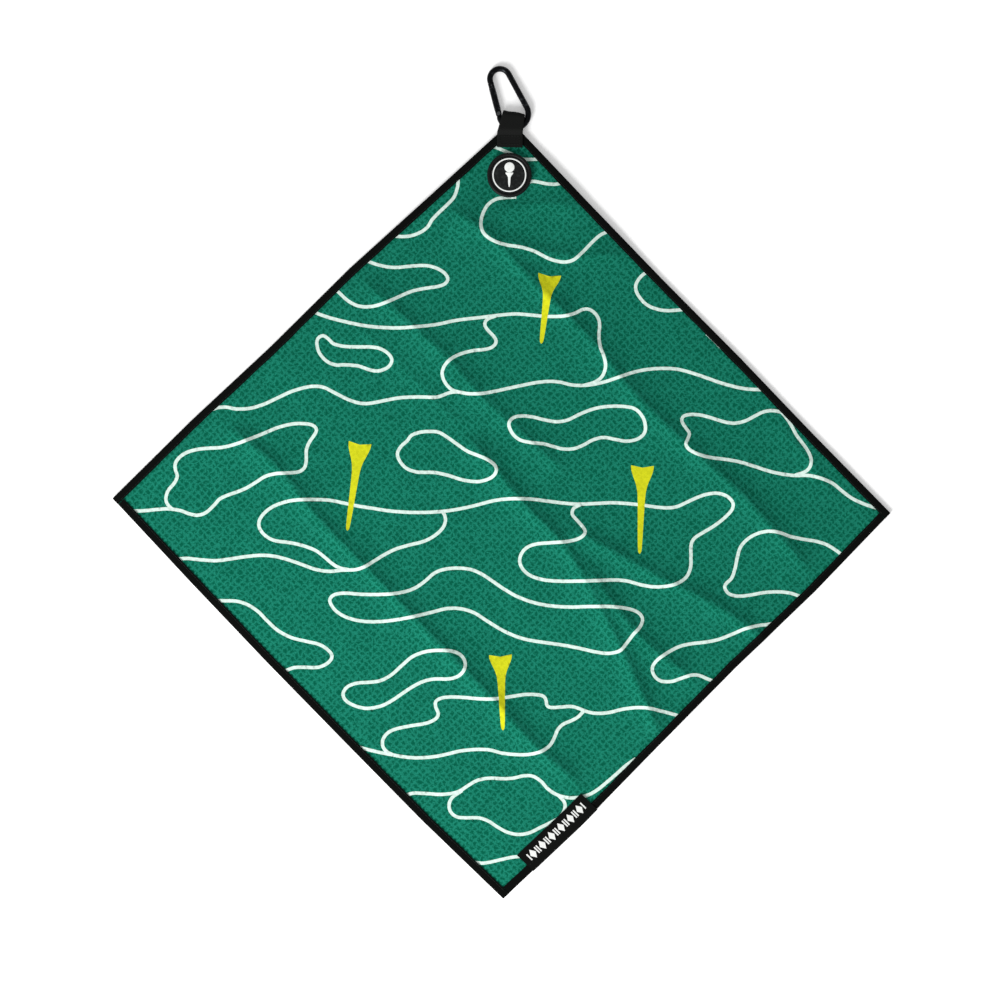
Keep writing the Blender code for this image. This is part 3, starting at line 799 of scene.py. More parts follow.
@dataclass(frozen=True)
class Fold:
    """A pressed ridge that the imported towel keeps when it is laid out, in mm from its middle."""

    path: tuple[Point, ...]
    height: float
    width: float = 9.0
    fade: float = 30.0
    crest: float = 1.0

    def rise(self, x: np.ndarray, y: np.ndarray) -> np.ndarray:
        """The ridge's height over each point, in mm, faded at both ends."""
        line = smooth_path(self.path, False, 6.0)
        along = np.concatenate([[0], np.cumsum(np.linalg.norm(np.diff(line, axis=0), axis=1))])
        best = np.full(x.shape, np.inf)
        best_along = np.zeros(x.shape)
        for start, end, so_far in zip(line, line[1:], along):
            step = end - start
            share = ((x - start[0]) * step[0] + (y - start[1]) * step[1]) / (step @ step)
            share = np.clip(share, 0, 1)
            away = np.hypot(x - start[0] - share * step[0], y - start[1] - share * step[1])
            nearer = away < best
            best = np.where(nearer, away, best)
            best_along = np.where(nearer, so_far + share * np.linalg.norm(step), best_along)
        ends = ramp(best_along / self.fade) * ramp((along[-1] - best_along) / self.fade)
        from_crest = np.sqrt(best**2 + self.crest**2) - self.crest
        return self.height * ends * np.exp(-from_crest / self.width)


FOLDS = (
    # The long folds that run from the upper left to the lower right
    Fold(((-52, 226), (-14, 200), (25, 161), (63, 124), (97, 83), (148, 36), (180, 7), (232, -50)), 5.4),
    Fold(((-117, 174), (-80, 142), (-45, 110), (-15, 78), (17, 50), (52, 20)), 4.2),
    Fold(((-126, 146), (-88, 112), (-55, 80), (-24, 50)), 1.4, 8.0),
    Fold(((-36, 58), (-8, 28), (15, 1), (45, -29), (75, -80), (94, -117), (113, -158), (121, -178)), 6.0),
    Fold(
        (
            (-214, 62), (-172, 29), (-137, -12), (-98, -51), (-50, -100), (-10, -140), (25, -177),
            (66, -212),
        ),
        5.0,
        8.0,
    ),
    # The two that branch off to the right edge
    Fold(((40, -10), (62, -22), (114, -50), (159, -72), (208, -105)), 4.8, 8.0),
    Fold(((58, -36), (82, -71), (112, -104), (154, -134)), 4.4, 8.0),
    # Two short ones under the patch, and one in each side corner
    Fold(((-12, 200), (22, 190), (53, 186), (92, 189)), 2.8, 7.0, 20.0),
    Fold(((-16, 222), (8, 224), (32, 225), (60, 222)), 2.2, 7.0, 20.0),
    Fold(((-232, 52), (-246, 30), (-264, 6)), 1.8, 5.0, 20.0),
    Fold(((200, 66), (225, 38), (248, 6)), 1.8, 5.0, 20.0),
)

# How far each edge lies outside a true square, in mm, at even steps along it
BOWS = {
    "upper_left": (4.2, 4.9, 3.2, 4.0, 1.0, -1.5),
    "lower_left": (1.5, 3.2, 4.1, 3.9, 3.3, 0.5),
    "lower_right": (5.0, 6.2, 4.0, 2.3, 2.8, 0.0),
    "upper_right": (-0.8, -1.2, -0.6, -1.4, -1.2, -0.2),
}


@dataclass
class Laying:
    """Where each point of the flat square comes to lie.

    Flat places are (x, y) in metres in the model's frame, as if the towel were a true square.
    """

    side: float = 406.4 * MM
    patch_calm: float = 17 * MM
    patch_fade: float = 14 * MM
    undulation: float = 0.5 * MM
    lift: float = 60 * MM
    margin: float = 2 * MM
    centre: Vector = field(init=False)
    low: float = field(init=False)
    raised: float = field(init=False)
    at_label: float = field(init=False)

    def __post_init__(self) -> None:
        """Reads the cloth's heights and the towel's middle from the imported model."""
        panel_low, panel_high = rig.box("towel_panel")
        half_cloth = TowelCloth.thickness / 2
        self.centre = Vector((0, panel_low.y + (panel_high.x - panel_low.x) / 2, 0))
        self.low = panel_low.z + half_cloth
        self.raised = panel_high.z - half_cloth
        label_low, label_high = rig.box("edge_label")
        self.at_label = (label_low.z + label_high.z) / 2

    def axes(self, flat: np.ndarray) -> tuple[np.ndarray, np.ndarray]:
        """Each point's distances from the middle towards the upper left and upper right edges."""
        x, y = flat[:, 0] - self.centre.x, flat[:, 1] - self.centre.y
        return (y - x) * ROOT_HALF, (x + y) * ROOT_HALF

    def shift(self, flat: np.ndarray) -> np.ndarray:
        """How far the bowed edges move each point in the plane.

        Args:
            flat: Flat places, as (count, 2).

        Returns:
            The shifts, as (count, 2).
        """
        half = self.side / 2
        left, right = self.axes(flat)
        knots = np.linspace(-half, half, 6)
        bow = {
            "upper_left": np.interp(right, knots, BOWS["upper_left"]),
            "lower_right": np.interp(right, knots, BOWS["lower_right"]),
            "lower_left": np.interp(-left, knots, BOWS["lower_left"]),
            "upper_right": np.interp(left, knots, BOWS["upper_right"]),
        }
        toward_left = bow["upper_left"] * (1 + left / half) / 2
        toward_left -= bow["lower_right"] * (1 - left / half) / 2
        toward_right = bow["upper_right"] * (1 + right / half) / 2
        toward_right -= bow["lower_left"] * (1 - right / half) / 2
        across = (toward_right - toward_left) * ROOT_HALF
        up = (toward_right + toward_left) * ROOT_HALF
        return np.column_stack([across, up]) * MM

    def height(self, laid: np.ndarray) -> np.ndarray:
        """The height of the cloth's middle plane over each laid place."""
        x, y = laid[:, 0], laid[:, 1]
        patch_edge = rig.box("patch_shell")[0].y - self.margin
        label_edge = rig.box("edge_label")[1].y + self.margin
        height = self.low + (self.raised - self.low) * ramp((y - patch_edge + self.lift) / self.lift)
        height = height + (self.at_label - self.low) * ramp((label_edge - y) / self.lift)
        from_middle_x, from_middle_y = x / MM, (y - self.centre.y) / MM
        folds = sum(fold.rise(from_middle_x, from_middle_y) for fold in FOLDS) * MM
        folds = folds + self.undulation * ripple(from_middle_x, from_middle_y, 90.0, 1.0)
        strap_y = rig.box("webbing_loop")[0].y
        away = np.hypot(x, np.clip(y, None, 0)) * (y <= strap_y) + np.abs(x) * (y > strap_y)
        calm = ramp((away - self.patch_calm) / self.patch_fade)
        return height + folds * calm

    def lay(self, flat: np.ndarray, above: np.ndarray | float) -> np.ndarray:
        """Lays flat places on the floor.

        Args:
            flat: Flat places, as (count, 2).
            above: How far each lies above the cloth's middle plane.

        Returns:
            Points in the model's frame, as (count, 3).
        """
        laid = flat + self.shift(flat)
        return np.column_stack([laid, self.height(laid) + above])

    def flatten(self, laid: np.ndarray) -> np.ndarray:
        """The flat places of points whose laid places are known."""
        flat = laid.copy()
        for _ in range(4):
            flat = laid - self.shift(flat)
        return flat

    def edge_places(self, side: int, along: np.ndarray, inward: np.ndarray) -> np.ndarray:
        """Flat places counted from one edge.

        Args:
            side: The edge, anticlockwise from the upper left one.
            along: Distances along it from its first corner.
            inward: Distances in from it.

        Returns:
            Flat places, as (count, 2).
        """
        turn = Matrix.Rotation(side * math.pi / 2, 2)
        inward_way = np.array(turn @ Vector((1, -1)) * ROOT_HALF)
        along_way = np.array(turn @ Vector((-1, -1)) * ROOT_HALF)
        corner = np.array(self.centre.xy + turn @ Vector((0, self.side * ROOT_HALF)))
        return corner + along[:, None] * along_way + inward[:, None] * inward_way


# --- The print ---------------------------------------------


class Run(Enum):
    """Whether a printed line is a loop or runs from end to end."""

    LOOP = "loop"
    LINE = "line"


@dataclass(frozen=True)
class PrintedLine:
    """One line of the print, by given points in mm from the laid towel's middle."""

    run: Run
    points: tuple[Point, ...]


# fmt: off
LINES = (
    # The corner above the patch, and the line right of the patch
    PrintedLine(Run.LINE, (
        (-22, 270), (-15, 267.5), (-10, 266.5), (-5, 264.5), (2, 261.6), (8, 258.9), (12, 258),
        (20, 258.3), (27, 259),
    )),
    PrintedLine(Run.LINE, (
        (9, 236), (15, 241.3), (20, 241.6), (27, 240.2), (34, 239.8), (40, 241), (46, 242),
    )),
    # Round under the patch and out to the right
    PrintedLine(Run.LINE, (
        (4, 230), (-4, 229.3), (-10, 228), (-15.5, 224), (-19.3, 217), (-20.6, 210), (-19.2, 203.8),
        (-15, 199.3), (-8, 195.8), (0, 193.8), (10, 192.5), (20, 189.5), (30, 184.6), (40, 182.2),
        (48, 183.6), (55, 189.5), (62, 197), (68, 202.5), (74, 205.5), (81, 209),
    )),
    # Down the upper left edge
    PrintedLine(Run.LINE, (
        (-38.3, 247), (-38, 241), (-38.5, 236), (-41, 229), (-46, 223.3), (-52, 217.5), (-57, 212),
        (-60, 207), (-65, 203), (-72, 200.2), (-79, 199.4), (-86, 199.8), (-92, 200.5),
    )),
    PrintedLine(Run.LINE, (
        (-111, 183), (-104, 180.6), (-98, 178.6), (-90, 176.8), (-82, 176.5), (-72, 177.6), (-62, 178.2),
        (-55, 177), (-48, 173.6), (-44.6, 169), (-46.5, 165), (-52, 162.8), (-60, 161.5), (-70, 159.3),
        (-78, 156), (-88, 151.2), (-97, 147.9), (-105, 146.8), (-112, 147.8), (-119, 151.5), (-126, 157.8),
        (-133, 163),
    )),
    PrintedLine(Run.LINE, (
        (-150, 145), (-141, 141.4), (-132, 138.4), (-120, 135.5), (-107, 133), (-95, 131.8), (-80, 131.5),
        (-65, 132.8), (-52, 134.6), (-40, 137.4), (-30, 139), (-20, 140.2), (-10, 141.6), (0, 142.8),
        (8, 143.2), (18, 142.5), (30, 141.6), (42, 142), (50, 144.2), (56, 147.2), (61, 147.2),
        (66, 143.5), (68.6, 137), (68.2, 128), (69.2, 120), (72.2, 112), (73.4, 105), (71.2, 98),
        (66, 93.6), (58, 91),
    )),
    PrintedLine(Run.LINE, (
        (-8, 141.8), (-15, 138.8), (-16.6, 134.6), (-14, 130.5), (-10, 126.5), (-8, 122.5), (-10.5, 118.6),
        (-16, 116.6), (-25, 115.5), (-34, 113), (-41, 109.3), (-46, 104), (-47.8, 98), (-45.5, 91.5),
        (-40, 86), (-33, 84.2),
    )),
    # Right across under the top three
    PrintedLine(Run.LINE, (
        (-226, 65), (-218, 69), (-213, 70.6), (-207, 70.8), (-200, 69.6), (-190, 70.3), (-180, 73.4),
        (-170, 78.2), (-160, 83), (-150, 86.2), (-143, 87.3), (-136, 86.7), (-128, 83), (-120, 79),
        (-112, 76), (-105, 75), (-98, 75.8), (-88, 78), (-78, 79.8), (-65, 80.5), (-53, 80.4), (-48, 81.6),
        (-42, 84), (-36, 84.6), (-28, 83.4), (-18, 83.7), (-8, 85.6), (2, 88), (12, 90.3), (22, 92.4),
        (32, 93.5), (40, 93), (48, 91.2), (56, 90.8), (64, 91.6), (74, 94), (84, 97.5), (94, 101),
        (104, 103.3), (115, 104.3), (126, 104), (136, 101.8), (148, 98), (160, 94), (172, 91), (181, 89.8),
        (190, 89.6), (200, 89),
    )),
    PrintedLine(Run.LOOP, (
        (-136.5, 125), (-132.5, 122.5), (-128.5, 119), (-120, 117.2), (-110, 117), (-100, 117),
        (-93, 115.5), (-87.5, 111.8), (-85.2, 107.3), (-88, 102.3), (-95, 99.4), (-102, 100.2),
        (-110, 102.8), (-120, 103.6), (-127, 103.4), (-133.5, 106), (-138.8, 111.5), (-141, 117.5),
        (-140.5, 122.8),
    )),
    PrintedLine(Run.LOOP, (
        (-70, 51.8), (-64, 54.2), (-57, 55), (-49.5, 54.4), (-42, 50), (-35, 45.2), (-28, 40.6),
        (-20, 37.5), (-13, 34.6), (-7.6, 30.5), (-6.6, 26), (-10, 21.5), (-18, 18.5), (-26, 18.5),
        (-34, 20), (-42, 22.5), (-52, 24.5), (-60, 24.6), (-66, 24.8), (-73, 27.2), (-78, 32.2),
        (-80.2, 38), (-77.6, 43.5), (-73, 47.8),
    )),
    # The left corner
    PrintedLine(Run.LINE, (
        (-284, -7.6), (-276, -7.3), (-268, -7), (-258, -5.9), (-250, -5.3), (-241, -6.4), (-234, -8.8),
        (-228, -9.7), (-222, -7.8), (-216, -2.3), (-212, 2.3), (-207, 5), (-200, 7.6), (-192, 11),
        (-184, 16), (-178, 19.8), (-170, 22), (-160, 22.7), (-153, 23.7), (-149, 26.8), (-147.8, 32),
        (-147.8, 40), (-145.5, 46), (-141.6, 52), (-140.6, 55.6), (-144, 58.6), (-152, 59.5), (-160, 58.8),
        (-170, 56), (-180, 51.6), (-190, 47.4), (-200, 43.6), (-210, 41), (-220, 40.2), (-228, 39.3),
        (-236, 37), (-242, 33), (-245, 28), (-244.6, 23), (-243.4, 19), (-245.5, 14), (-249.6, 9),
        (-251.5, 4), (-251, -1), (-247, -5.5),
    )),
    # The long shape across the middle
    PrintedLine(Run.LINE, (
        (-116, -48.4), (-121.5, -47.4), (-127, -44.5), (-133, -39.6), (-140, -34.6), (-150, -31),
        (-160, -29), (-170, -27.8), (-177, -24.5), (-181.6, -19), (-182, -13), (-177.5, -6.5),
        (-170, -1.5), (-160, 1.8), (-150, 3), (-140, 3.2), (-130, 2.8), (-120, 1), (-110, -1), (-98, -2.7),
        (-85, -4.5), (-70, -5.3), (-55, -5), (-42, -3.7), (-30, -1.5), (-20, 1), (-10, 3.8), (-2, 5.3),
        (8, 6), (20, 5.8), (32, 4.5), (44, 3.2), (55, 2.6), (68, 3.3), (80, 4), (92, 3.5), (103, 2.5),
        (112, 1.3), (121, 0.8), (128, 1.8), (135, 5), (143, 8.8), (150, 11.3), (158, 12.2), (165, 10),
        (169.3, 5.5), (169, 0.5), (164, -5.5), (156, -12), (148, -17), (141.4, -21.5), (139, -26.5),
        (139, -35), (138.8, -43), (136, -50), (130, -54.6), (122, -57.2), (112, -58), (102, -56.6),
        (92, -54), (82, -53.3), (70, -53.8), (55, -54.5), (42, -54.8), (30, -54), (20, -51), (14, -46),
        (11.8, -40), (13.5, -34), (18, -29.6), (25, -27.3), (35, -26.3), (48, -25), (56, -22.6),
        (60, -18.6), (58.6, -14.6), (53.6, -9), (50.4, -5), (51.4, -0.5), (57, 2.6),
    )),
    PrintedLine(Run.LINE, (
        (-248, -43), (-241, -42.4), (-235, -41.9), (-225, -42.8), (-214, -43.3), (-204, -42), (-192, -40),
        (-180, -38.8), (-170, -39.5), (-160, -41.9), (-150, -45.2), (-140, -48.6), (-130, -50),
        (-120, -49), (-110, -48.4), (-103, -46), (-96, -41.6), (-88, -36.6), (-80, -32.6), (-70, -29.5),
        (-60, -26.8), (-52, -22.6), (-46, -17), (-43.8, -11.5), (-44.4, -7), (-46.5, -4),
    )),
    # The right corner
    PrintedLine(Run.LINE, (
        (214, 71), (206, 72.8), (198, 74.2), (191, 73), (185, 70), (178, 66.3), (170, 64.4), (162, 65.4),
        (153, 68), (145, 70), (137, 70.4), (132, 69), (130.6, 65.6), (133.5, 60.6), (136.4, 56.5),
        (135.2, 52.3), (133.8, 48.5), (136, 44.6), (143, 41), (152, 38.7), (163, 37.5), (174, 35.7),
        (185, 32.6), (195, 29.5), (205, 27.3), (215, 26.2), (225, 26.4), (234, 24.6), (243, 21),
        (250, 15.6), (257, 10.5), (264, 7), (271, 4.4), (278, 2.5),
    )),
    PrintedLine(Run.LINE, (
        (205, 73), (209.5, 67.5), (213, 61.8), (216, 56.3), (220, 51), (224, 45.6), (227, 39.4),
        (226.6, 33.4), (223, 29.2), (216, 26.6),
    )),
    PrintedLine(Run.LINE, (
        (256, -37), (250, -31.4), (246, -28.5), (240, -25), (232, -22.5), (222, -21), (212, -19),
        (205, -16.5), (198, -15.4), (190, -16.6), (182, -20.6), (176, -27), (173.5, -35), (172, -43),
        (169.5, -50.6), (165.2, -55), (164.6, -58.6), (168, -62.6), (175, -64), (184, -63), (193, -61.2),
        (203, -60.4), (212, -61), (220, -63.3), (227, -66),
    )),
    # Along the upper right edge
    PrintedLine(Run.LINE, (
        (110, 180), (103, 175.6), (99, 172.5), (95.6, 167.5), (95.2, 162.5), (98, 157), (103, 151.8),
        (110, 148.6), (118, 147.3), (126, 147.8), (133, 148.6), (140, 149.5),
    )),
    PrintedLine(Run.LINE, (
        (148.5, 130.5), (154.5, 125), (159, 120.5), (164, 117), (170, 114),
    )),
    # Islands of the middle
    PrintedLine(Run.LOOP, (
        (2.3, 61.5), (5.5, 66), (12, 67.5), (20, 66.8), (30, 64.6), (38, 63.6), (46, 65), (55, 69.5),
        (65, 73.5), (75, 75.4), (86, 75.7), (95.5, 74), (101.2, 68.5), (103.6, 62), (103, 56), (98, 51.6),
        (90, 49.9), (82, 51), (73, 52.4), (65, 50.5), (58, 46.6), (51, 43.8), (43, 43.4), (36, 45),
        (28, 47), (18, 47.9), (10, 50), (4.6, 55),
    )),
    PrintedLine(Run.LOOP, (
        (-128.8, -72), (-126, -67.6), (-118, -66), (-105, -66.7), (-90, -66.5), (-76, -64.9), (-66, -61.6),
        (-58, -56), (-52, -50.6), (-45, -47.5), (-35, -46.2), (-25, -47), (-17, -50), (-8, -55.6),
        (0, -61), (10, -66.5), (22, -70.8), (35, -73.2), (50, -73.9), (65, -73.2), (80, -73), (92, -74.3),
        (100, -77), (103.6, -81.6), (102, -87.5), (97, -93.2), (92, -100), (87, -105.6), (79, -107.8),
        (70, -107.1), (58, -104.6), (45, -102.3), (30, -100.4), (18, -98.6), (8, -95.6), (-2, -91),
        (-12, -85), (-22, -79), (-32, -76.3), (-42, -76.4), (-52, -79), (-64, -82), (-78, -85),
        (-92, -86.8), (-105, -86.6), (-116, -84), (-124.5, -79),
    )),
    PrintedLine(Run.LINE, (
        (-221, -75), (-213, -73.2), (-206, -73), (-198, -73.2), (-190, -75.6), (-182, -80.6),
        (-175, -87.5), (-167, -94.5), (-157, -99.6), (-147, -102), (-136, -104.5), (-129.5, -108.6),
        (-126.5, -113), (-129.5, -118), (-137, -121.4), (-148, -121.5), (-155, -122), (-161, -124.4),
        (-168, -127),
    )),
    PrintedLine(Run.LOOP, (
        (-118, -141.5), (-115.3, -136), (-108, -132.8), (-98, -131.9), (-90, -130.5), (-82, -126),
        (-74, -118.6), (-67, -112.6), (-58, -108.8), (-48, -107.4), (-38, -107.7), (-31, -110.6),
        (-27.6, -116), (-28.5, -122), (-33, -126.6), (-40, -128.6), (-50, -128.8), (-58, -130.6),
        (-66, -134.6), (-74, -140), (-82, -145.6), (-90, -149.6), (-100, -151.4), (-109, -149.6),
        (-115.3, -146.2),
    )),
    # The lower third
    PrintedLine(Run.LINE, (
        (-112, -178), (-104, -180.7), (-98, -182.2), (-90, -184), (-82, -185.4), (-72, -187),
        (-62, -187.6), (-50, -186.6), (-40, -184.5), (-30, -182), (-18, -180.7), (-8, -181), (0, -183),
        (10, -184), (20, -183.8), (29, -181.5), (36, -177), (39.5, -171), (42, -165), (46, -161),
        (52, -158.3), (57, -155.4), (60.5, -151.5),
    )),
    PrintedLine(Run.LINE, (
        (-80, -185.8), (-84.5, -183.5), (-87.6, -180), (-88, -175), (-85, -170), (-79, -166.6),
        (-68, -164), (-56, -161.8), (-49, -158.5), (-47, -154.5), (-49, -149.5), (-49, -145.6),
        (-45, -143), (-38, -142), (-28, -142.2), (-15, -143), (-3, -142.5), (8, -140.8), (18, -139.3),
        (27, -139.5), (31.4, -140.8), (33, -144), (33.8, -147.6), (37.5, -148.8), (45, -148.2),
        (52, -147.8), (58, -149.4), (64, -151.6), (71, -152.6), (80, -151.8), (90, -149.2), (100, -147.8),
        (109, -147.9), (118, -150), (126, -152), (133, -154), (140, -156),
    )),
    PrintedLine(Run.LINE, (
        (204, -83), (196, -84.8), (190, -85.5), (180, -88), (170, -92.5), (160, -96.5), (150, -98.6),
        (140, -99.9), (131, -102.2), (122, -107), (115, -112.2), (111.4, -118), (113, -124), (118, -127.8),
        (126, -128), (134, -125.2), (141, -123), (147, -123.5), (152, -125.6), (157.5, -127.7),
        (164, -130),
    )),
    PrintedLine(Run.LINE, (
        (-77, -217), (-69, -215), (-64, -213.8), (-55, -214), (-45, -214.5), (-36, -213.6), (-30, -211.6),
        (-24, -207.6), (-17, -203.6), (-8, -201.9), (2, -202.2), (10, -201.5), (17, -199.8), (24, -200),
        (30, -203.6), (35, -209), (41, -213), (49, -215.4), (57, -215.4), (65, -213.4), (72, -209.4),
        (79, -203.6), (86, -197.4), (93, -191), (100, -186),
    )),
    PrintedLine(Run.LINE, (
        (-29, -211.8), (-35.6, -216.5), (-38, -222), (-36.6, -227.6), (-32, -231), (-25, -231.6),
        (-16, -231.5), (-9, -233.6), (-2, -238), (6, -242), (14, -243.4), (22, -242), (30, -238),
        (38, -234), (44, -230.3), (47.8, -224.5), (47.6, -219), (43, -213.8),
    )),
    PrintedLine(Run.LINE, (
        (-26, -263), (-18, -264.6), (-12, -265), (-6, -264), (2, -262), (9, -260.4), (16, -259.6),
        (24, -259),
    )),
)
# fmt: on


@dataclass(frozen=True)
class PrintedTee:
    """A plain golf tee printed solid, from its point to the middle of its cup, in mm."""

    tip: Point
    top: Point

    def outline(self) -> np.ndarray:
        """The tee's outline on the laid towel, in mm from its middle."""
        tip, top = Vector(self.tip), Vector(self.top)
        up = (top - tip).normalized()
        right = Vector((up.y, -up.x))
        length = (top - tip).length
        # Half widths at shares of the height: point, shaft, flare of the cup, rim
        shaft = ((0, 0.3), (0.07, 1.5), (0.5, 2.5), (0.68, 3.1))
        profile = (*shaft, (0.78, 4.4), (0.87, 6.6), (0.945, 8.2), (1, 8.5))
        shape = smooth_path([(share * length, half) for share, half in profile], False, 1.5)
        right_side = [tip + up * along + right * half for along, half in shape]
        left_side = [tip + up * along - right * half for along, half in shape[::-1]]
        dish = tip + up * (length - 1.6)
        return np.array([tuple(p) for p in [*right_side, dish, *left_side]])


TEES = (
    PrintedTee((25.5, 121.5), (31, 173)),
    PrintedTee((-116.5, -19.5), (-108, 46)),
    PrintedTee((100.8, -33.5), (102, 32)),
    PrintedTee((1.2, -166), (-1.5, -110)),
)


# --- Towel -------------------------------------------------


@dataclass
class TowelCloth:
    """The square of waffle cloth: its cells are modelled, and its print is cut into its face."""

    thickness: float = 1.6 * MM
    edge_gap: float = 0.8 * MM
    cells: int = 101
    pit_depth: float = 0.55 * MM
    line_width: float = 2.45 * MM
    hidden_edge: float = 2.2 * MM
    wander: float = 0.09 * MM
    seed: int = 7
    kinds: tuple[str, ...] = ("green", "white", "yellow", "back")

    def grid(self, laying: Laying) -> tuple[np.ndarray, int]:
        """The flat places of the cells' corners, sides and middles, and how many there are a side."""
        steps = 2 * self.cells + 1
        line = np.linspace(self.edge_gap, laying.side - self.edge_gap, steps)
        along, inward = np.meshgrid(line, line, indexing="ij")
        return laying.edge_places(0, along.ravel(), inward.ravel()), steps

    @staticmethod
    def rim(steps: int) -> list[int]:
        """The grid's outer points in order round the cloth, for a grid with this many a side."""
        there = [i * steps for i in range(steps)] + [(steps - 1) * steps + j for j in range(1, steps)]
        back = [i * steps + steps - 1 for i in range(steps - 2, -1, -1)]
        return there + back + list(range(steps - 2, 0, -1))

    def relief(self, laying: Laying, flat: np.ndarray) -> np.ndarray:
        """1 on the raised lines between the cells, 0 in the middle of each cell."""
        left, right = laying.axes(flat)
        side = laying.side - 2 * self.edge_gap
        shares = [np.abs(2 * (((c + side / 2) / side * self.cells) % 1) - 1) for c in (left, right)]
        return np.maximum(*shares)

    def clamp(self, laying: Laying, flat: np.ndarray) -> np.ndarray:
        """Keeps the print's points on the cloth, under the edge tape."""
        limit = laying.side / 2 - self.hidden_edge
        left, right = (np.clip(c, -limit, limit) for c in laying.axes(flat))
        return np.column_stack([(right - left), (right + left)]) * ROOT_HALF + np.array(laying.centre.xy)

    def line_loops(self, laying: Laying) -> tuple[list[np.ndarray], np.ndarray]:
        """The printed lines' outlines, and points down their middles, both in flat places."""
        loops, middles = [], []
        centre = np.array(laying.centre.xy)
        for line in LINES:
            laid = smooth_path(line.points, line.run is Run.LOOP, 1.6) * MM + centre
            flat = laying.flatten(laid)
            if line.run is Run.LOOP:
                step = np.roll(flat, -1, axis=0) - np.roll(flat, 1, axis=0)
            else:
                step = np.gradient(flat, axis=0)
            sideways = np.column_stack([-step[:, 1], step[:, 0]]) / np.linalg.norm(step, axis=1)[:, None]
            offset = sideways * self.line_width / 2
            if line.run is Run.LOOP:
                loops += [self.clamp(laying, flat + offset), self.clamp(laying, flat - offset)]
                flat = np.vstack([flat, flat[:1]])
            else:
                around = np.vstack([flat + offset, (flat - offset)[::-1]])
                loops.append(self.clamp(laying, around))
            for share in (0.0, 0.25, 0.5, 0.75):
                middles.append(flat[:-1] * (1 - share) + flat[1:] * share)
        return loops, np.vstack(middles)

    def tee_loops(self, laying: Laying) -> list[np.ndarray]:
        """The printed tees' outlines, in flat places."""
        centre = np.array(laying.centre.xy)
        return [laying.flatten(tee.outline() * MM + centre) for tee in TEES]

    @staticmethod
    def inside(loop: np.ndarray, places: np.ndarray) -> np.ndarray:
        """Which places lie inside a closed outline."""
        x, y = places[:, 0], places[:, 1]
        within = np.zeros(len(places), bool)
        for (ax, ay), (bx, by) in zip(loop, np.roll(loop, -1, axis=0)):
            if ay != by:
                crosses = (ay > y) != (by > y)
                within ^= crosses & (x < (bx - ax) * (y - ay) / (by - ay) + ax)
        return within

    def face(self, laying: Laying) -> tuple[np.ndarray, np.ndarray, np.ndarray, dict[int, int]]:
        """Cuts the print into the cells' mesh.

        Returns:
            The face's flat places, its triangles, the kind of each, and where each grid point went.
        """
        grid, steps = self.grid(laying)
        line_loops, middles = self.line_loops(laying)
        tee_loops = self.tee_loops(laying)
        points = [Vector(p) for p in grid]
        rim = self.rim(steps)
        edges = list(zip(rim, rim[1:] + rim[:1]))
        for loop in line_loops + tee_loops:
            first = len(points)
            points += [Vector(p) for p in loop]
            edges += [(first + i, first + (i + 1) % len(loop)) for i in range(len(loop))]
        places, _, faces, origins, _, _ = geometry.delaunay_2d_cdt(points, edges, [], 0, 1e-7)
        flat = np.array([tuple(p) for p in places])
        triangles = np.array(faces)
        # A sliver outside the rim has all its points on one side of the square
        limit = laying.side / 2 - self.edge_gap - 0.001 * MM
        outer = np.zeros(len(triangles), bool)
        for across in laying.axes(flat):
            for way in (-1, 1):
                outer |= (way * across[triangles] > limit).all(axis=1)
        triangles = triangles[~outer]
        went = {old: new for new, olds in enumerate(origins) for old in olds if old < len(grid)}

        centroids = flat[triangles].mean(axis=1)
        tree = kdtree.KDTree(len(middles))
        for i, middle in enumerate(middles):
            tree.insert((*middle, 0), i)
        tree.balance()
        kinds = np.zeros(len(triangles), int)
        for i, centroid in enumerate(centroids):
            if tree.find((*centroid, 0))[2] < self.line_width / 2:
                kinds[i] = self.kinds.index("white")
        for loop in tee_loops:
            kinds[self.inside(loop, centroids)] = self.kinds.index("yellow")
        return flat, triangles, kinds, went

    def build(self, laying: Laying, materials: Materials) -> Piece:
        """Builds the closed cloth with its waffle cells on both faces.

        Args:
            laying: How the towel lies.
            materials: The materials by short name.

        Returns:
            The cloth.
        """
        rng = np.random.default_rng(self.seed)
        flat, triangles, kinds, went = self.face(laying)
        back, steps = self.grid(laying)
        top_relief, back_relief = self.relief(laying, flat), self.relief(laying, back)
        top_above = self.thickness / 2 - self.pit_depth * (1 - top_relief)
        back_above = -self.thickness / 2 + self.pit_depth * (1 - back_relief)
        top_above += self.wander * rng.uniform(-1, 1, len(flat))
        points = np.vstack([laying.lay(flat, top_above), laying.lay(back, back_above)])

        first, second, third = (flat[triangles[:, k]] for k in range(3))
        normal_up = np.cross(second - first, third - first)
        triangles[normal_up < 0] = triangles[normal_up < 0][:, ::-1]
        first = len(flat)
        corner = np.arange(steps * steps).reshape(steps, steps)[:-1, :-1].ravel()
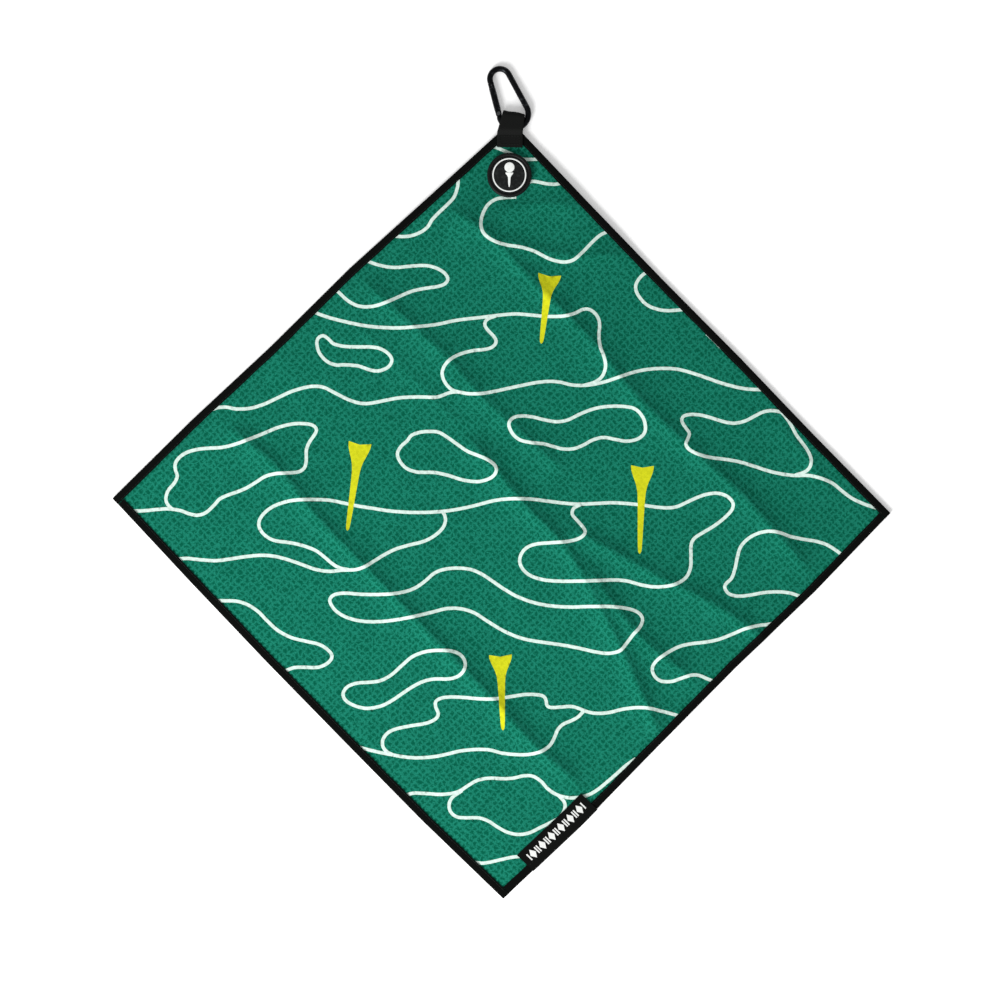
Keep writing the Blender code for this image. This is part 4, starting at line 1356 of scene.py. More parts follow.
        # The cell's middle point is where both grid numbers are odd, and each cut runs through it
        row, column = corner // steps, corner % steps
        a, b, c, d = corner, corner + steps, corner + steps + 1, corner + 1
        rising = (row + column) % 2 == 0
        low = np.where(rising[:, None], np.column_stack([a, c, b]), np.column_stack([a, d, b]))
        high = np.where(rising[:, None], np.column_stack([a, d, c]), np.column_stack([b, d, c]))
        under = np.vstack([low, high]) + first
        rim = self.rim(steps)
        walls = []
        for here, there in zip(rim, rim[1:] + rim[:1]):
            walls.append((went[here], went[there], first + there))
            walls.append((went[here], first + there, first + here))
        faces = np.vstack([triangles, under, np.array(walls)])
        cloth = object_from("towel_cloth", points, faces.tolist())
        order = np.full(len(faces), self.kinds.index("back"))
        order[: len(triangles)] = kinds
        for kind in self.kinds:
            cloth.data.materials.append(materials[kind])
        cloth.data.polygons.foreach_set("material_index", order.astype(np.int32))
        left, right = laying.axes(np.vstack([flat, back]))
        pitch = (laying.side - 2 * self.edge_gap) / self.cells
        weave = np.column_stack([left / pitch + 0.5, right / pitch + 0.5, np.zeros(len(left))])
        layer = cloth.data.attributes.new("weave", "FLOAT_VECTOR", "POINT")
        layer.data.foreach_set("vector", weave.astype(np.float32).ravel())

        shape = bmesh.new()
        shape.from_mesh(cloth.data)
        bmesh.ops.recalc_face_normals(shape, faces=shape.faces)
        shape.to_mesh(cloth.data)
        shape.free()
        cut_away(cloth, (0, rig.box("towel_panel")[1].y, 0), (0, 1, 0))
        cloth.data.shade_smooth()
        return cloth


class Edge(Enum):
    """The towel's edges, anticlockwise from the upper left one."""

    UPPER_LEFT = 0
    LOWER_LEFT = 1
    LOWER_RIGHT = 2
    UPPER_RIGHT = 3

    @property
    def word(self) -> str:
        """The edge's name as the nodes have it."""
        return self.name.lower()


def folded_section(
    edge: float, reach: float, slot_half: float, wall: float, seam: float, dip: float
) -> tuple[np.ndarray, np.ndarray]:
    """The section of a band folded over the towel's edge, a ring of points.

    Args:
        edge: Where its outer face is, in from the towel's own edge.
        reach: How far in it reaches.
        slot_half: Half the gap that it closes round.
        wall: Its thickness.
        seam: Where its seam is, in from the edge.
        dip: How far the seam pulls it down.

    Returns:
        The points' distances in from the edge, and their heights from the middle plane.
    """
    half = slot_half + wall
    turns = np.linspace(math.pi / 2, 3 * math.pi / 2, 9)
    rounding = 0.15 * MM
    around_seam = [seam + step * MM for step in (0.8, 0.35, 0, -0.35, -0.8)]
    flats = np.array([reach - rounding, *around_seam])
    dip_width = 0.45 * MM
    dips = dip * np.exp(-(((flats - seam) / dip_width) ** 2))
    outer_x = np.concatenate([[reach], flats, edge + half + half * np.cos(turns), flats[::-1], [reach]])
    top, bottom = half - dips, dips[::-1] - half
    outer_z = np.concatenate([[half - rounding], top, half * np.sin(turns), bottom, [rounding - half]])
    inner = slot_half
    inner_x = np.concatenate([[reach, seam], edge + half + inner * np.cos(turns), [seam, reach]])
    inner_z = np.concatenate([[inner, inner], inner * np.sin(turns), [-inner, -inner]])
    return np.concatenate([outer_x, inner_x[::-1]]), np.concatenate([outer_z, inner_z[::-1]])


def sweep_band(
    name: str,
    laying: Laying,
    edge: Edge,
    start: float,
    end: float,
    section: tuple[np.ndarray, np.ndarray],
    wander: float,
) -> Piece:
    """Sweeps a folded section along an edge as the towel lies.

    Args:
        name: The piece's name.
        laying: How the towel lies.
        edge: Which edge it covers.
        start: Where it starts along the edge.
        end: Where it ends.
        section: The distances in from the edge, and the heights.
        wander: How unevenly its inner edge was cut and sewn.

    Returns:
        The band, a closed solid.
    """
    inward, above = section
    stations = np.linspace(start, end, int((end - start) / (2 * MM)) + 1)
    rings = []
    reach = inward.max()
    for along in stations:
        uneven = wander * (ripple(along / MM, 0.0, 23.0, edge.value + 1.0) - 0.5) * 2
        inner = inward + uneven * (inward / reach) ** 2
        places = laying.edge_places(edge.value, np.full(len(inner), along), inner)
        rings.append(laying.lay(places, above))
    return closed_sweep(name, np.array(rings))


@dataclass
class Stitching:
    """Lockstitch in spun thread: short rounded stitches that dip where they enter the cloth."""

    pitch: float = 2.9 * MM
    length: float = 2.5 * MM
    diameter: float = 0.42 * MM

    def stitch(self) -> Piece:
        """One stitch about the origin, along X, flattened underneath."""
        made = new_primitive(
            bpy.ops.mesh.primitive_uv_sphere_add,
            "stitch",
            segments=6,
            ring_count=5,
            radius=self.diameter / 2,
            rotation=(0, math.pi / 2, 0),
        )
        with editing(made):
            for side in (-1, 1):
                choose(made, "VERT", lambda v, side=side: side * v.co.x > 0.01 * MM)
                bpy.ops.transform.translate(value=(side * (self.length - self.diameter) / 2, 0, 0))
        return made

    def row(self, name: str, points: np.ndarray) -> Piece:
        """A row of stitches down a line of points.

        Args:
            name: The piece's name.
            points: The line, close together, as (count, 3).

        Returns:
            The row as one piece.
        """
        along = np.concatenate([[0], np.cumsum(np.linalg.norm(np.diff(points, axis=0), axis=1))])
        count = max(int(along[-1] / self.pitch), 1)
        places = []
        for i in range(count):
            middle = (i + 0.5) * along[-1] / count
            stops = (middle - self.length / 2, middle + self.length / 2)
            ends = [Vector([np.interp(stop, along, points[:, axis]) for axis in range(3)]) for stop in stops]
            run = (ends[1] - ends[0]).normalized()
            side = Vector((0, 0, 1)).cross(run).normalized()
            turn = Matrix((run, side, run.cross(side))).transposed().to_4x4()
            places.append(Matrix.Translation((ends[0] + ends[1]) / 2) @ turn)
        return copies(name, self.stitch(), places)


@dataclass
class EdgeTape:
    """The folded tape round the towel, in four lengths, each sewn down with one row."""

    reach: float = 6.0 * MM
    thickness: float = 0.5 * MM
    slot_half: float = 0.9 * MM
    seam: float = 4.9 * MM
    seam_dip: float = 0.12 * MM
    wander: float = 0.18 * MM
    corner_gap: float = 0.2 * MM
    seam_end: float = 4.0 * MM
    past_strap: float = 19.5 * MM
    past_label: float = 96.0 * MM

    def spans(self, side: float) -> dict[Edge, tuple[float, float]]:
        """Where each length starts and ends along its edge: the upper two lie over the others."""
        under = self.reach + self.corner_gap
        return {
            Edge.UPPER_LEFT: (0, side),
            Edge.LOWER_LEFT: (under, side),
            Edge.LOWER_RIGHT: (under, side - under),
            Edge.UPPER_RIGHT: (0, side),
        }

    def seams(self, side: float) -> dict[Edge, tuple[float, float]]:
        """Where each row of stitches starts and ends along its edge."""
        under = self.reach + self.corner_gap + self.seam_end
        return {
            Edge.UPPER_LEFT: (self.past_strap, side - self.seam_end),
            Edge.LOWER_LEFT: (under, side - self.seam_end),
            Edge.LOWER_RIGHT: (self.past_label, side - under),
            Edge.UPPER_RIGHT: (self.seam_end, side - self.past_strap),
        }

    def build(
        self, laying: Laying, materials: Materials
    ) -> tuple[dict[Edge, Piece], dict[Edge, Piece]]:
        """Builds the four lengths of tape and their rows of stitches.

        Args:
            laying: How the towel lies.
            materials: The materials by short name.

        Returns:
            The tapes and the rows, by edge.
        """
        section = folded_section(0, self.reach, self.slot_half, self.thickness, self.seam, self.seam_dip)
        corner_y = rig.box("towel_panel")[1].y
        top = self.slot_half + self.thickness
        tapes, rows = {}, {}
        for edge, (start, end) in self.spans(laying.side).items():
            tape = sweep_band(f"edge_tape_{edge.word}", laying, edge, start, end, section, self.wander)
            if edge in (Edge.UPPER_LEFT, Edge.UPPER_RIGHT):
                away = -1 if edge is Edge.UPPER_LEFT else 1
                cut_away(tape, (away * self.corner_gap / 2, 0, 0), (-away, 0, 0))
                cut_away(tape, (0, corner_y, 0), (0, 1, 0))
            dress(tape, materials["tape"])
            tapes[edge] = tape
            first, last = self.seams(laying.side)[edge]
            along = np.linspace(first, last, int((last - first) / MM))
            places = laying.edge_places(edge.value, along, np.full(len(along), self.seam))
            row = Stitching().row(f"edge_stitches_{edge.word}", laying.lay(places, top))
            dress(row, materials["thread"])
            rows[edge] = row
        return tapes, rows


@dataclass
class EdgeLabel:
    """The damask label folded over the lower right tape, with a plain woven band as its motif."""

    start: float = 30.5 * MM
    length: float = 66.0 * MM
    reach: float = 16.3 * MM
    thickness: float = 0.4 * MM
    slot_half: float = 1.65 * MM
    clear: float = 0.2 * MM
    seam: float = 4.9 * MM
    motif_middle: float = 9.0 * MM
    motif_height: float = 8.0 * MM
    motif_margin: float = 4.5 * MM
    motif_proud: float = 0.15 * MM
    motif_sunk: float = 0.1 * MM
    units: int = 6
    lozenge_half: float = 0.27
    bar_starts: tuple[float, float] = (-0.46, 0.35)
    bar_width: float = 0.11
    bar_height: float = 0.72
    seam_dip: float = 0.1 * MM
    seam_end: float = 1.5 * MM
    wander: float = 0.05 * MM

    def build(self, laying: Laying, materials: Materials) -> list[Piece]:
        """Builds the label, its motif and its seam.

        Args:
            laying: How the towel lies.
            materials: The materials by short name.

        Returns:
            The label, the motif and the row of stitches.
        """
        edge = -self.thickness - self.clear
        section = folded_section(edge, self.reach, self.slot_half, self.thickness, self.seam, self.seam_dip)
        end = self.start + self.length
        label = sweep_band("woven_label", laying, Edge.LOWER_RIGHT, self.start, end, section, self.wander)
        dress(label, materials["label"])
        motif = self.motif(laying)
        dress(motif, materials["motif"])
        along = np.linspace(self.start + self.seam_end, end - self.seam_end, 80)
        places = laying.edge_places(Edge.LOWER_RIGHT.value, along, np.full(len(along), self.seam))
        row = Stitching(pitch=2.4 * MM, length=2.0 * MM, diameter=0.32 * MM).row(
            "label_stitches", laying.lay(places, self.slot_half + self.thickness)
        )
        dress(row, materials["thread"])
        return [label, motif, row]

    def motif(self, laying: Laying) -> Piece:
        """The woven band: lozenges between pairs of bars, each a thin raised float of weft."""
        unit = (self.length - 2 * self.motif_margin) / self.units
        half = self.motif_height / 2
        shapes = []
        for i in range(self.units):
            middle = self.start + self.motif_margin + (i + 0.5) * unit
            wide = self.lozenge_half * unit
            shapes.append([(middle - wide, 0), (middle, half), (middle + wide, 0), (middle, -half)])
            tall = self.bar_height * half
            for bar in self.bar_starts:
                low, high = middle + bar * unit, middle + (bar + self.bar_width) * unit
                shapes.append([(low, -tall), (low, tall), (high, tall), (high, -tall)])
        points, faces = [], []
        top = self.slot_half + self.thickness
        for shape in shapes:
            along = np.array([p[0] for p in shape])
            inward = np.array([self.motif_middle + p[1] for p in shape])
            places = laying.edge_places(Edge.LOWER_RIGHT.value, along, inward)
            first, count = sum(map(len, points)), len(shape)
            points += [laying.lay(places, top + self.motif_proud), laying.lay(places, top - self.motif_sunk)]
            faces.append(tuple(first + j for j in range(count)))
            faces.append(tuple(first + count + j for j in reversed(range(count))))
            for j in range(count):
                k = (j + 1) % count
                faces.append((first + j, first + count + j, first + count + k, first + k))
        return tidy(object_from("label_motif", np.vstack(points), faces), angle=30)


# --- Strap -------------------------------------------------


@dataclass
class Strap:
    """The webbing loop: plain-woven nylon, its yarns modelled, folded round the carabiner's rod."""

    width: float = 19.0 * MM
    fold_width: float = 16.0 * MM
    thickness: float = 1.2 * MM
    tail: float = 11.3 * MM
    loop: float = 15.25 * MM
    lean: float = 3.05 * MM
    slope: float = math.radians(8.3)
    slack: float = 0.35 * MM
    descent: float = 6.0 * MM
    rod_diameter: float = 4.4 * MM
    rod_gap: float = 0.72 * MM
    pick: float = 1.25 * MM
    yarns: int = 15
    yarn_height: float = 0.13 * MM
    samples_a_pick: int = 6
    samples_a_yarn: int = 3
    box_inset: float = 2.2 * MM
    box_length: float = 6.0 * MM
    over_tape: float = 0.3 * MM
    buckle: float = 0.25 * MM
    buckle_waves: float = 1.3
    buckle_start: float = 0.6
    edge_squareness: int = 14
    edge_share: float = 0.05

    def side_path(self) -> np.ndarray:
        """The strap's middle line from the side, as (y, z), from the back tail to the front one."""
        corner_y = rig.box("towel_panel")[1].y
        half = self.thickness / 2
        rod_z = self.thickness + self.slack + self.rod_diameter / 2
        tape_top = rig.box("binding_upper_left")[1].z
        front = tape_top + self.over_tape + half
        over = rod_z + self.rod_diameter / 2 + self.slack + half
        bend = (over - half) / 2
        bend_y = corner_y + self.loop - bend - half
        starts = (corner_y - self.tail, corner_y - self.tail / 2, corner_y, bend_y)
        points = [(y, half) for y in starts]
        for step in range(1, 8):
            turn = -math.pi / 2 + math.pi * step / 8
            points.append((bend_y + bend * math.cos(turn), half + bend + bend * math.sin(turn)))
        down = corner_y + self.rod_gap + self.rod_diameter / 2
        points += [(bend_y, over), ((bend_y + down) / 2, over)]
        for step in range(5):
            drop = float(ramp(np.array(step / 4)))
            points.append((down - self.descent * step / 4, over + (front - over) * drop))
        points += [(corner_y - 0.7 * self.tail, front), (corner_y - self.tail, front)]
        return smooth_path(points, False, self.pick / self.samples_a_pick)

    def place(self, across: np.ndarray, y: float) -> tuple[np.ndarray, np.ndarray]:
        """Where points across the strap go in the leaning, narrowing loop."""
        share = min(max((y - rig.box("towel_panel")[1].y) / self.loop, 0), 1)
        narrow = 1 - share * (1 - self.fold_width / self.width)
        wave = across / self.width * 2 * math.pi * self.buckle_waves + self.buckle_start
        buckle = self.buckle * np.sin(wave) * share
        return across * narrow + self.lean * share, y - across * math.tan(self.slope) * share + buckle

    def build(self, materials: Materials) -> list[Piece]:
        """Builds the strap and its box stitch.

        Args:
            materials: The materials by short name.

        Returns:
            The strap and the box stitch.
        """
        path = self.side_path()
        step = np.gradient(path, axis=0)
        normal = np.column_stack([-step[:, 1], step[:, 0]]) / np.linalg.norm(step, axis=1)[:, None]
        columns = np.linspace(-0.5, 0.5, self.yarns * self.samples_a_yarn + 1)
        crown = np.sqrt(np.clip(1 - (np.abs(columns) * 2) ** self.edge_squareness, self.edge_share, 1))
        rings = []
        for i, ((y, z), (normal_y, normal_z)) in enumerate(zip(path, normal)):
            phase = math.pi * i / self.samples_a_pick
            weave = np.cos(phase * 2 + math.pi * np.floor((columns + 0.5) * self.yarns * 0.9999))
            groove = np.abs(np.sin(math.pi * (columns + 0.5) * self.yarns))
            lift = self.yarn_height * (0.5 * weave + 0.5 * groove - 0.5)
            half = (self.thickness / 2 - self.yarn_height / 2) * crown + lift * crown
            opposite = (self.thickness / 2 - self.yarn_height / 2) * crown
            opposite = opposite + self.yarn_height * (-0.5 * weave + 0.5 * groove - 0.5) * crown
            x, place_y = self.place(columns * self.width, y)
            outer = np.column_stack([x, place_y + normal_y * half, z + normal_z * half])
            inner = np.column_stack([x, place_y - normal_y * opposite, z - normal_z * opposite])
            rings.append(np.vstack([outer, inner[::-1]]))
        strap = closed_sweep("webbing_strap", np.array(rings))
        dress(strap, materials["webbing"])

        side = self.width / 2 - self.box_inset
        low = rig.box("webbing_loop")[0].y + self.box_inset
        high = low + self.box_length
        top = path[-1][1] + self.thickness / 2
        corners = np.array([(-side, low), (side, low), (side, high), (-side, high), (-side, low)])
        runs = [np.linspace(a, b, 30, endpoint=False) for a, b in zip(corners, corners[1:])]
        line = np.vstack([*runs, corners[-1:]])
        row = Stitching(pitch=2.0 * MM, length=1.8 * MM).row(
            "strap_stitches", np.column_stack([line, np.full(len(line), top)])
        )
        dress(row, materials["thread"])
        return [strap, row]


# --- Carabiner ---------------------------------------------


@dataclass
class Carabiner:
    """The pear-shaped carabiner: one bent rod, and a sprung gate that opens inwards.

    It is modelled flat about the middle of its wide end, with +Y towards the narrow end.
    """

    rod_radius: float = 2.2 * MM
    wide_radius: float = 13.0 * MM
    narrow_radius: float = 9.6 * MM
    centres: float = 28.2 * MM
    tilt: float = math.radians(22.3)
    fold_width: float = 16.0 * MM
    gate_radius: float = 2.4 * MM
    gate_length: float = 23.6 * MM
    pivot_up: float = 3.0 * MM
    shoulder_gap: float = 0.35 * MM
    nose_gap: float = 0.4 * MM
    tongue: float = 1.6 * MM
    tongue_radius: float = 1.9 * MM
    cam_height: float = 2.3 * MM
    cam_half: float = 1.2 * MM
    nose_half: float = 1.8 * MM
    notch_gap: float = 0.25 * MM
    fit: float = 0.1 * MM
    beyond: float = 4.0 * MM
    foot_past: float = 0.15 * MM
    pusher_head: float = 1.8 * MM
    slot_gap: float = 0.2 * MM
    pivot_slot: float = 3.0 * MM
    rivet_radius: float = 0.75 * MM
    rivet_head: float = 1.4 * MM
    spot_height: float = 2.0 * MM
    pin_radius: float = 0.5 * MM
    pin_from_end: float = 2.0 * MM
    hook: float = 1.7 * MM
    bore: float = 1.35 * MM
    bore_end: float = 14.0 * MM
    spring_radius: float = 0.85 * MM
    wire_radius: float = 0.2 * MM
    spring_turns: int = 7
    pusher_travel: float = 0.4 * MM
    sides: int = 28
    lean: float = field(init=False)
    frame_matrix: Matrix = field(init=False)
    gate_matrix: Matrix = field(init=False)

    def __post_init__(self) -> None:
        """Works out where the rod's and the gate's own axes lie in the model's frame."""
        joints = {joint["name"]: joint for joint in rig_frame["joints"]}
        axis = Vector(joints["carabiner_swing"]["pos_m"])
        self.lean = math.asin((self.wide_radius - self.narrow_radius) / self.centres)
        radius = self.wide_radius - self.rod_radius
        half = self.fold_width / 2
        rise = (radius + math.sqrt(radius * radius - half * half)) / 2
        reach = rise + self.centres * math.cos(self.tilt) + self.narrow_radius - self.rod_radius
        pitch = math.asin((axis.z - self.rod_radius) / reach)
        turn = Matrix.Rotation(-pitch, 4, "X") @ Matrix.Rotation(self.tilt, 4, "Z")
        centre = Matrix.Rotation(-self.tilt, 4, "Z") @ Vector((0, rise, 0))
        self.frame_matrix = Matrix.Translation(axis) @ turn @ Matrix.Translation(centre)
        hinge = Matrix.Translation(self.gate_line(self.pivot_up)) @ Matrix.Rotation(-self.lean, 4, "Z")
        self.gate_matrix = self.frame_matrix @ hinge
        miss = (self.gate_matrix.translation - Vector(joints["gate_hinge"]["pos_m"])).length
        log.info("gate hinge lies %.4f mm from its joint", miss / MM)

    def gate_line(self, distance: float) -> Vector:
        """The point of the gate's middle line this far up from where the wide arc stops."""
        radius = self.wide_radius - self.rod_radius
        foot = Vector((-radius * math.cos(self.lean), radius * math.sin(self.lean), 0))
        return foot + distance * Vector((math.sin(self.lean), math.cos(self.lean), 0))

    def rod(self) -> Piece:
        """Bends the rod: a ring spun round the wide end, drawn straight, and spun round the narrow."""
        shoulder = self.gate_line(self.pivot_up - self.gate_radius - self.shoulder_gap)
        nose = self.gate_line(self.pivot_up + self.gate_length + self.nose_gap)
        rod = new_primitive(
            bpy.ops.mesh.primitive_circle_add,
            "carabiner_rod",
            vertices=self.sides,
            radius=self.rod_radius,
            fill_type="NGON",
            location=shoulder,
            rotation=(math.pi / 2, 0, -self.lean),
        )
        foot, lean = self.gate_line(0), self.lean
        wide, narrow = (0, 0, 0), (0, self.centres, 0)
        straight = math.sqrt(self.centres**2 - (self.wide_radius - self.narrow_radius) ** 2)
        right_way = Vector((-math.sin(lean), math.cos(lean), 0))
        narrow_end = Vector(narrow) + Vector((-math.cos(lean), math.sin(lean), 0)) * (
            self.narrow_radius - self.rod_radius
        )
        with editing(rod):
            bpy.ops.mesh.select_all(action="SELECT")
            bpy.ops.mesh.extrude_region_move(TRANSFORM_OT_translate={"value": foot - shoulder})
            bpy.ops.mesh.spin(steps=56, angle=-(math.pi + 2 * lean), center=wide, axis=(0, 0, 1))
            bpy.ops.mesh.extrude_region_move(TRANSFORM_OT_translate={"value": right_way * straight})
            bpy.ops.mesh.spin(steps=28, angle=-(math.pi - 2 * lean), center=narrow, axis=(0, 0, 1))
            bpy.ops.mesh.extrude_region_move(TRANSFORM_OT_translate={"value": nose - narrow_end})
        return tidy(rod)

    def block(self, name: str, low: Sequence[float], high: Sequence[float]) -> Piece:
        """A block between two corners, in the gate's own axes."""
        low, high = Vector(low), Vector(high)
        middle = (low + high) / 2
        made = new_primitive(bpy.ops.mesh.primitive_cube_add, name, size=1, location=middle)
        stretch(made, high - low, middle)
        return made

    def bar(
        self, name: str, radius: float, low: float, high: float, lengthwise: bool = False, y: float = 0.0
    ) -> Piece:
        """A round bar along the gate's Z or its length, in the gate's own axes.

        Args:
            name: Its name.
            radius: Its radius.
            low: Where it starts along its axis.
            high: Where it ends.
            lengthwise: Whether it runs along the gate.
            y: How far up the gate a bar across it stands.

        Returns:
            The bar.
        """
        middle = (low + high) / 2
        return new_primitive(
            bpy.ops.mesh.primitive_cylinder_add,
            name,
            vertices=self.sides,
            radius=radius,
            depth=high - low,
            location=(0, middle, 0) if lengthwise else (0, y, middle),
            rotation=(math.pi / 2, 0, 0) if lengthwise else (0, 0, 0),
        )

    def frame(self) -> Piece:
        """Builds the rod with the flat tongue under the gate's rivet and the hooked nose."""
        rod = self.rod()
        hinge = self.frame_matrix.inverted() @ self.gate_matrix
        half = self.tongue / 2
        into_rod = self.gate_radius + self.shoulder_gap + self.rod_radius / 2
        eye = self.bar("tongue", self.tongue_radius, -half, half)
        wide, cam = self.tongue_radius, self.cam_half
        carve(eye, self.block("stem", (-wide, -into_rod, -half), (wide, 0, half)), "UNION")
        carve(eye, self.block("cam", (-cam, 0, -half), (cam, self.cam_height, half)), "UNION")
        carve(eye, self.bar("hole", self.rivet_radius + self.fit, -2 * half, 2 * half), "DIFFERENCE")
        pin_y = self.gate_length - self.pin_from_end
        nose_y = self.gate_length + self.nose_gap + self.rod_radius / 2
        wide = self.nose_half
        nose = self.block("nose", (-wide, pin_y - self.hook, -half), (wide, nose_y, half))
        notch = self.pin_radius + self.notch_gap
        carve(nose, self.bar("notch", notch, -2 * half, 2 * half, y=pin_y), "DIFFERENCE")
        way = self.block("way", (0, pin_y - notch, -2 * half), (self.beyond, pin_y + notch, 2 * half))
        carve(nose, way, "DIFFERENCE")
        for part in (eye, nose):
            part.data.transform(hinge)
            carve(rod, part, "UNION")
        bevel_edges(rod, 0.12 * MM, 2, 40)
        rod.data.transform(self.frame_matrix)
        return tidy(rod, angle=40)

    def gate(self) -> Piece:
        """Builds the gate: a slotted tube with a round foot, a bore, spot faces and a pin hole."""
        radius, beyond = self.gate_radius, self.beyond
        gate = self.bar("carabiner_gate_tube", radius, -radius - self.foot_past, self.gate_length, True)
        wide = 1.2 * radius
        foot = self.bar("foot", radius - self.fit, -beyond, beyond)
        carve(foot, self.block("body", (-wide, 0, -beyond), (wide, 2 * self.gate_length, beyond)), "UNION")
        carve(gate, foot, "INTERSECT")
        bevel_edges(gate, 0.25 * MM, 3, 50)
        slot = self.tongue / 2 + self.slot_gap
        pin_y = self.gate_length - self.pin_from_end
        nose_floor = pin_y - self.hook - self.nose_gap
        slots = (("pivot_slot", -2 * wide, self.pivot_slot), ("nose_slot", nose_floor, 30 * MM))
        for name, low, high in slots:
            carve(gate, self.block(name, (-wide, low, -slot), (wide, high, slot)), "DIFFERENCE")
        carve(gate, self.bar("bore", self.bore, self.pivot_slot - slot, self.bore_end, True), "DIFFERENCE")
        carve(gate, self.bar("rivet_hole", self.rivet_radius + self.fit, -beyond, beyond), "DIFFERENCE")
        for low, high in ((self.spot_height, 5 * MM), (-5 * MM, -self.spot_height)):
            carve(gate, self.bar("spot", self.rivet_head + 0.2 * MM, low, high), "DIFFERENCE")
        carve(gate, self.bar("pin_hole", self.pin_radius + self.fit, -beyond, beyond, y=pin_y), "DIFFERENCE")
        gate.data.transform(self.gate_matrix)
        return tidy(gate, angle=40)

    def rivet(self) -> Piece:
        """Builds the domed rivet: a shank with a head pressed at each end."""
        under = self.spot_height + 0.1 * MM
        head = 0.4 * MM
        rivet = self.bar("gate_rivet", self.rivet_radius, -under - head, under + head)
        for side in (-1, 1):
            low, high = sorted((side * under, side * (under + head)))
            cap = self.bar("head", self.rivet_head, low, high)
            with editing(cap):
                choose(cap, "FACE", lambda f, side=side: f.normal.z * side > 0.9)
                bpy.ops.mesh.inset(thickness=0.35 * MM)
                bpy.ops.transform.translate(value=(0, 0, side * 0.02 * MM))
            bevel_edges(cap, 0.15 * MM, 3, 50)
            carve(rivet, cap, "UNION")
        rivet.data.transform(self.gate_matrix)
        return tidy(rivet, angle=40)

    def spring_ends(self) -> tuple[float, float]:
        """How far up the gate the spring's wire starts, over the pusher's head, and ends."""
        head = self.cam_height + self.foot_past + self.pusher_head
        return head + self.fit + self.wire_radius, self.bore_end - self.fit - self.wire_radius

    def squeeze(self, spring: Piece) -> None:
        """Lets the spring shorten against the bore's end as the pusher slides."""
        start, end = self.spring_ends()
        length = end - start + 2 * self.wire_radius
        along = self.gate_matrix.to_3x3() @ Vector((0, 1, 0))
        anchor = self.gate_matrix @ Vector((0, end + self.wire_radius, 0))
        keep = 1 - self.pusher_travel / length
        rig.squash(spring, "pusher_slide", axis=tuple(along), anchor=tuple(anchor), keep=keep)

    def spring(self) -> Piece:
        """Winds the spring in the gate's bore from a ring and a screw."""
        start, end = self.spring_ends()
        spring = new_primitive(
            bpy.ops.mesh.primitive_circle_add,
            "gate_coil",
            vertices=10,
            radius=self.wire_radius,
            location=(self.spring_radius, start, 0),
        )
        apply_modifier(
            spring,
            "SCREW",
            axis="Y",
            angle=2 * math.pi * self.spring_turns,
            screw_offset=end - start,
            steps=18 * self.spring_turns,
            render_steps=18 * self.spring_turns,
            use_merge_vertices=False,
        )
        with editing(spring):
            bpy.ops.mesh.select_all(action="SELECT")
            bpy.ops.mesh.fill_holes(sides=0)
        spring.data.transform(self.gate_matrix)
        return tidy(spring, angle=60)


# --- Magnet patch ------------------------------------------


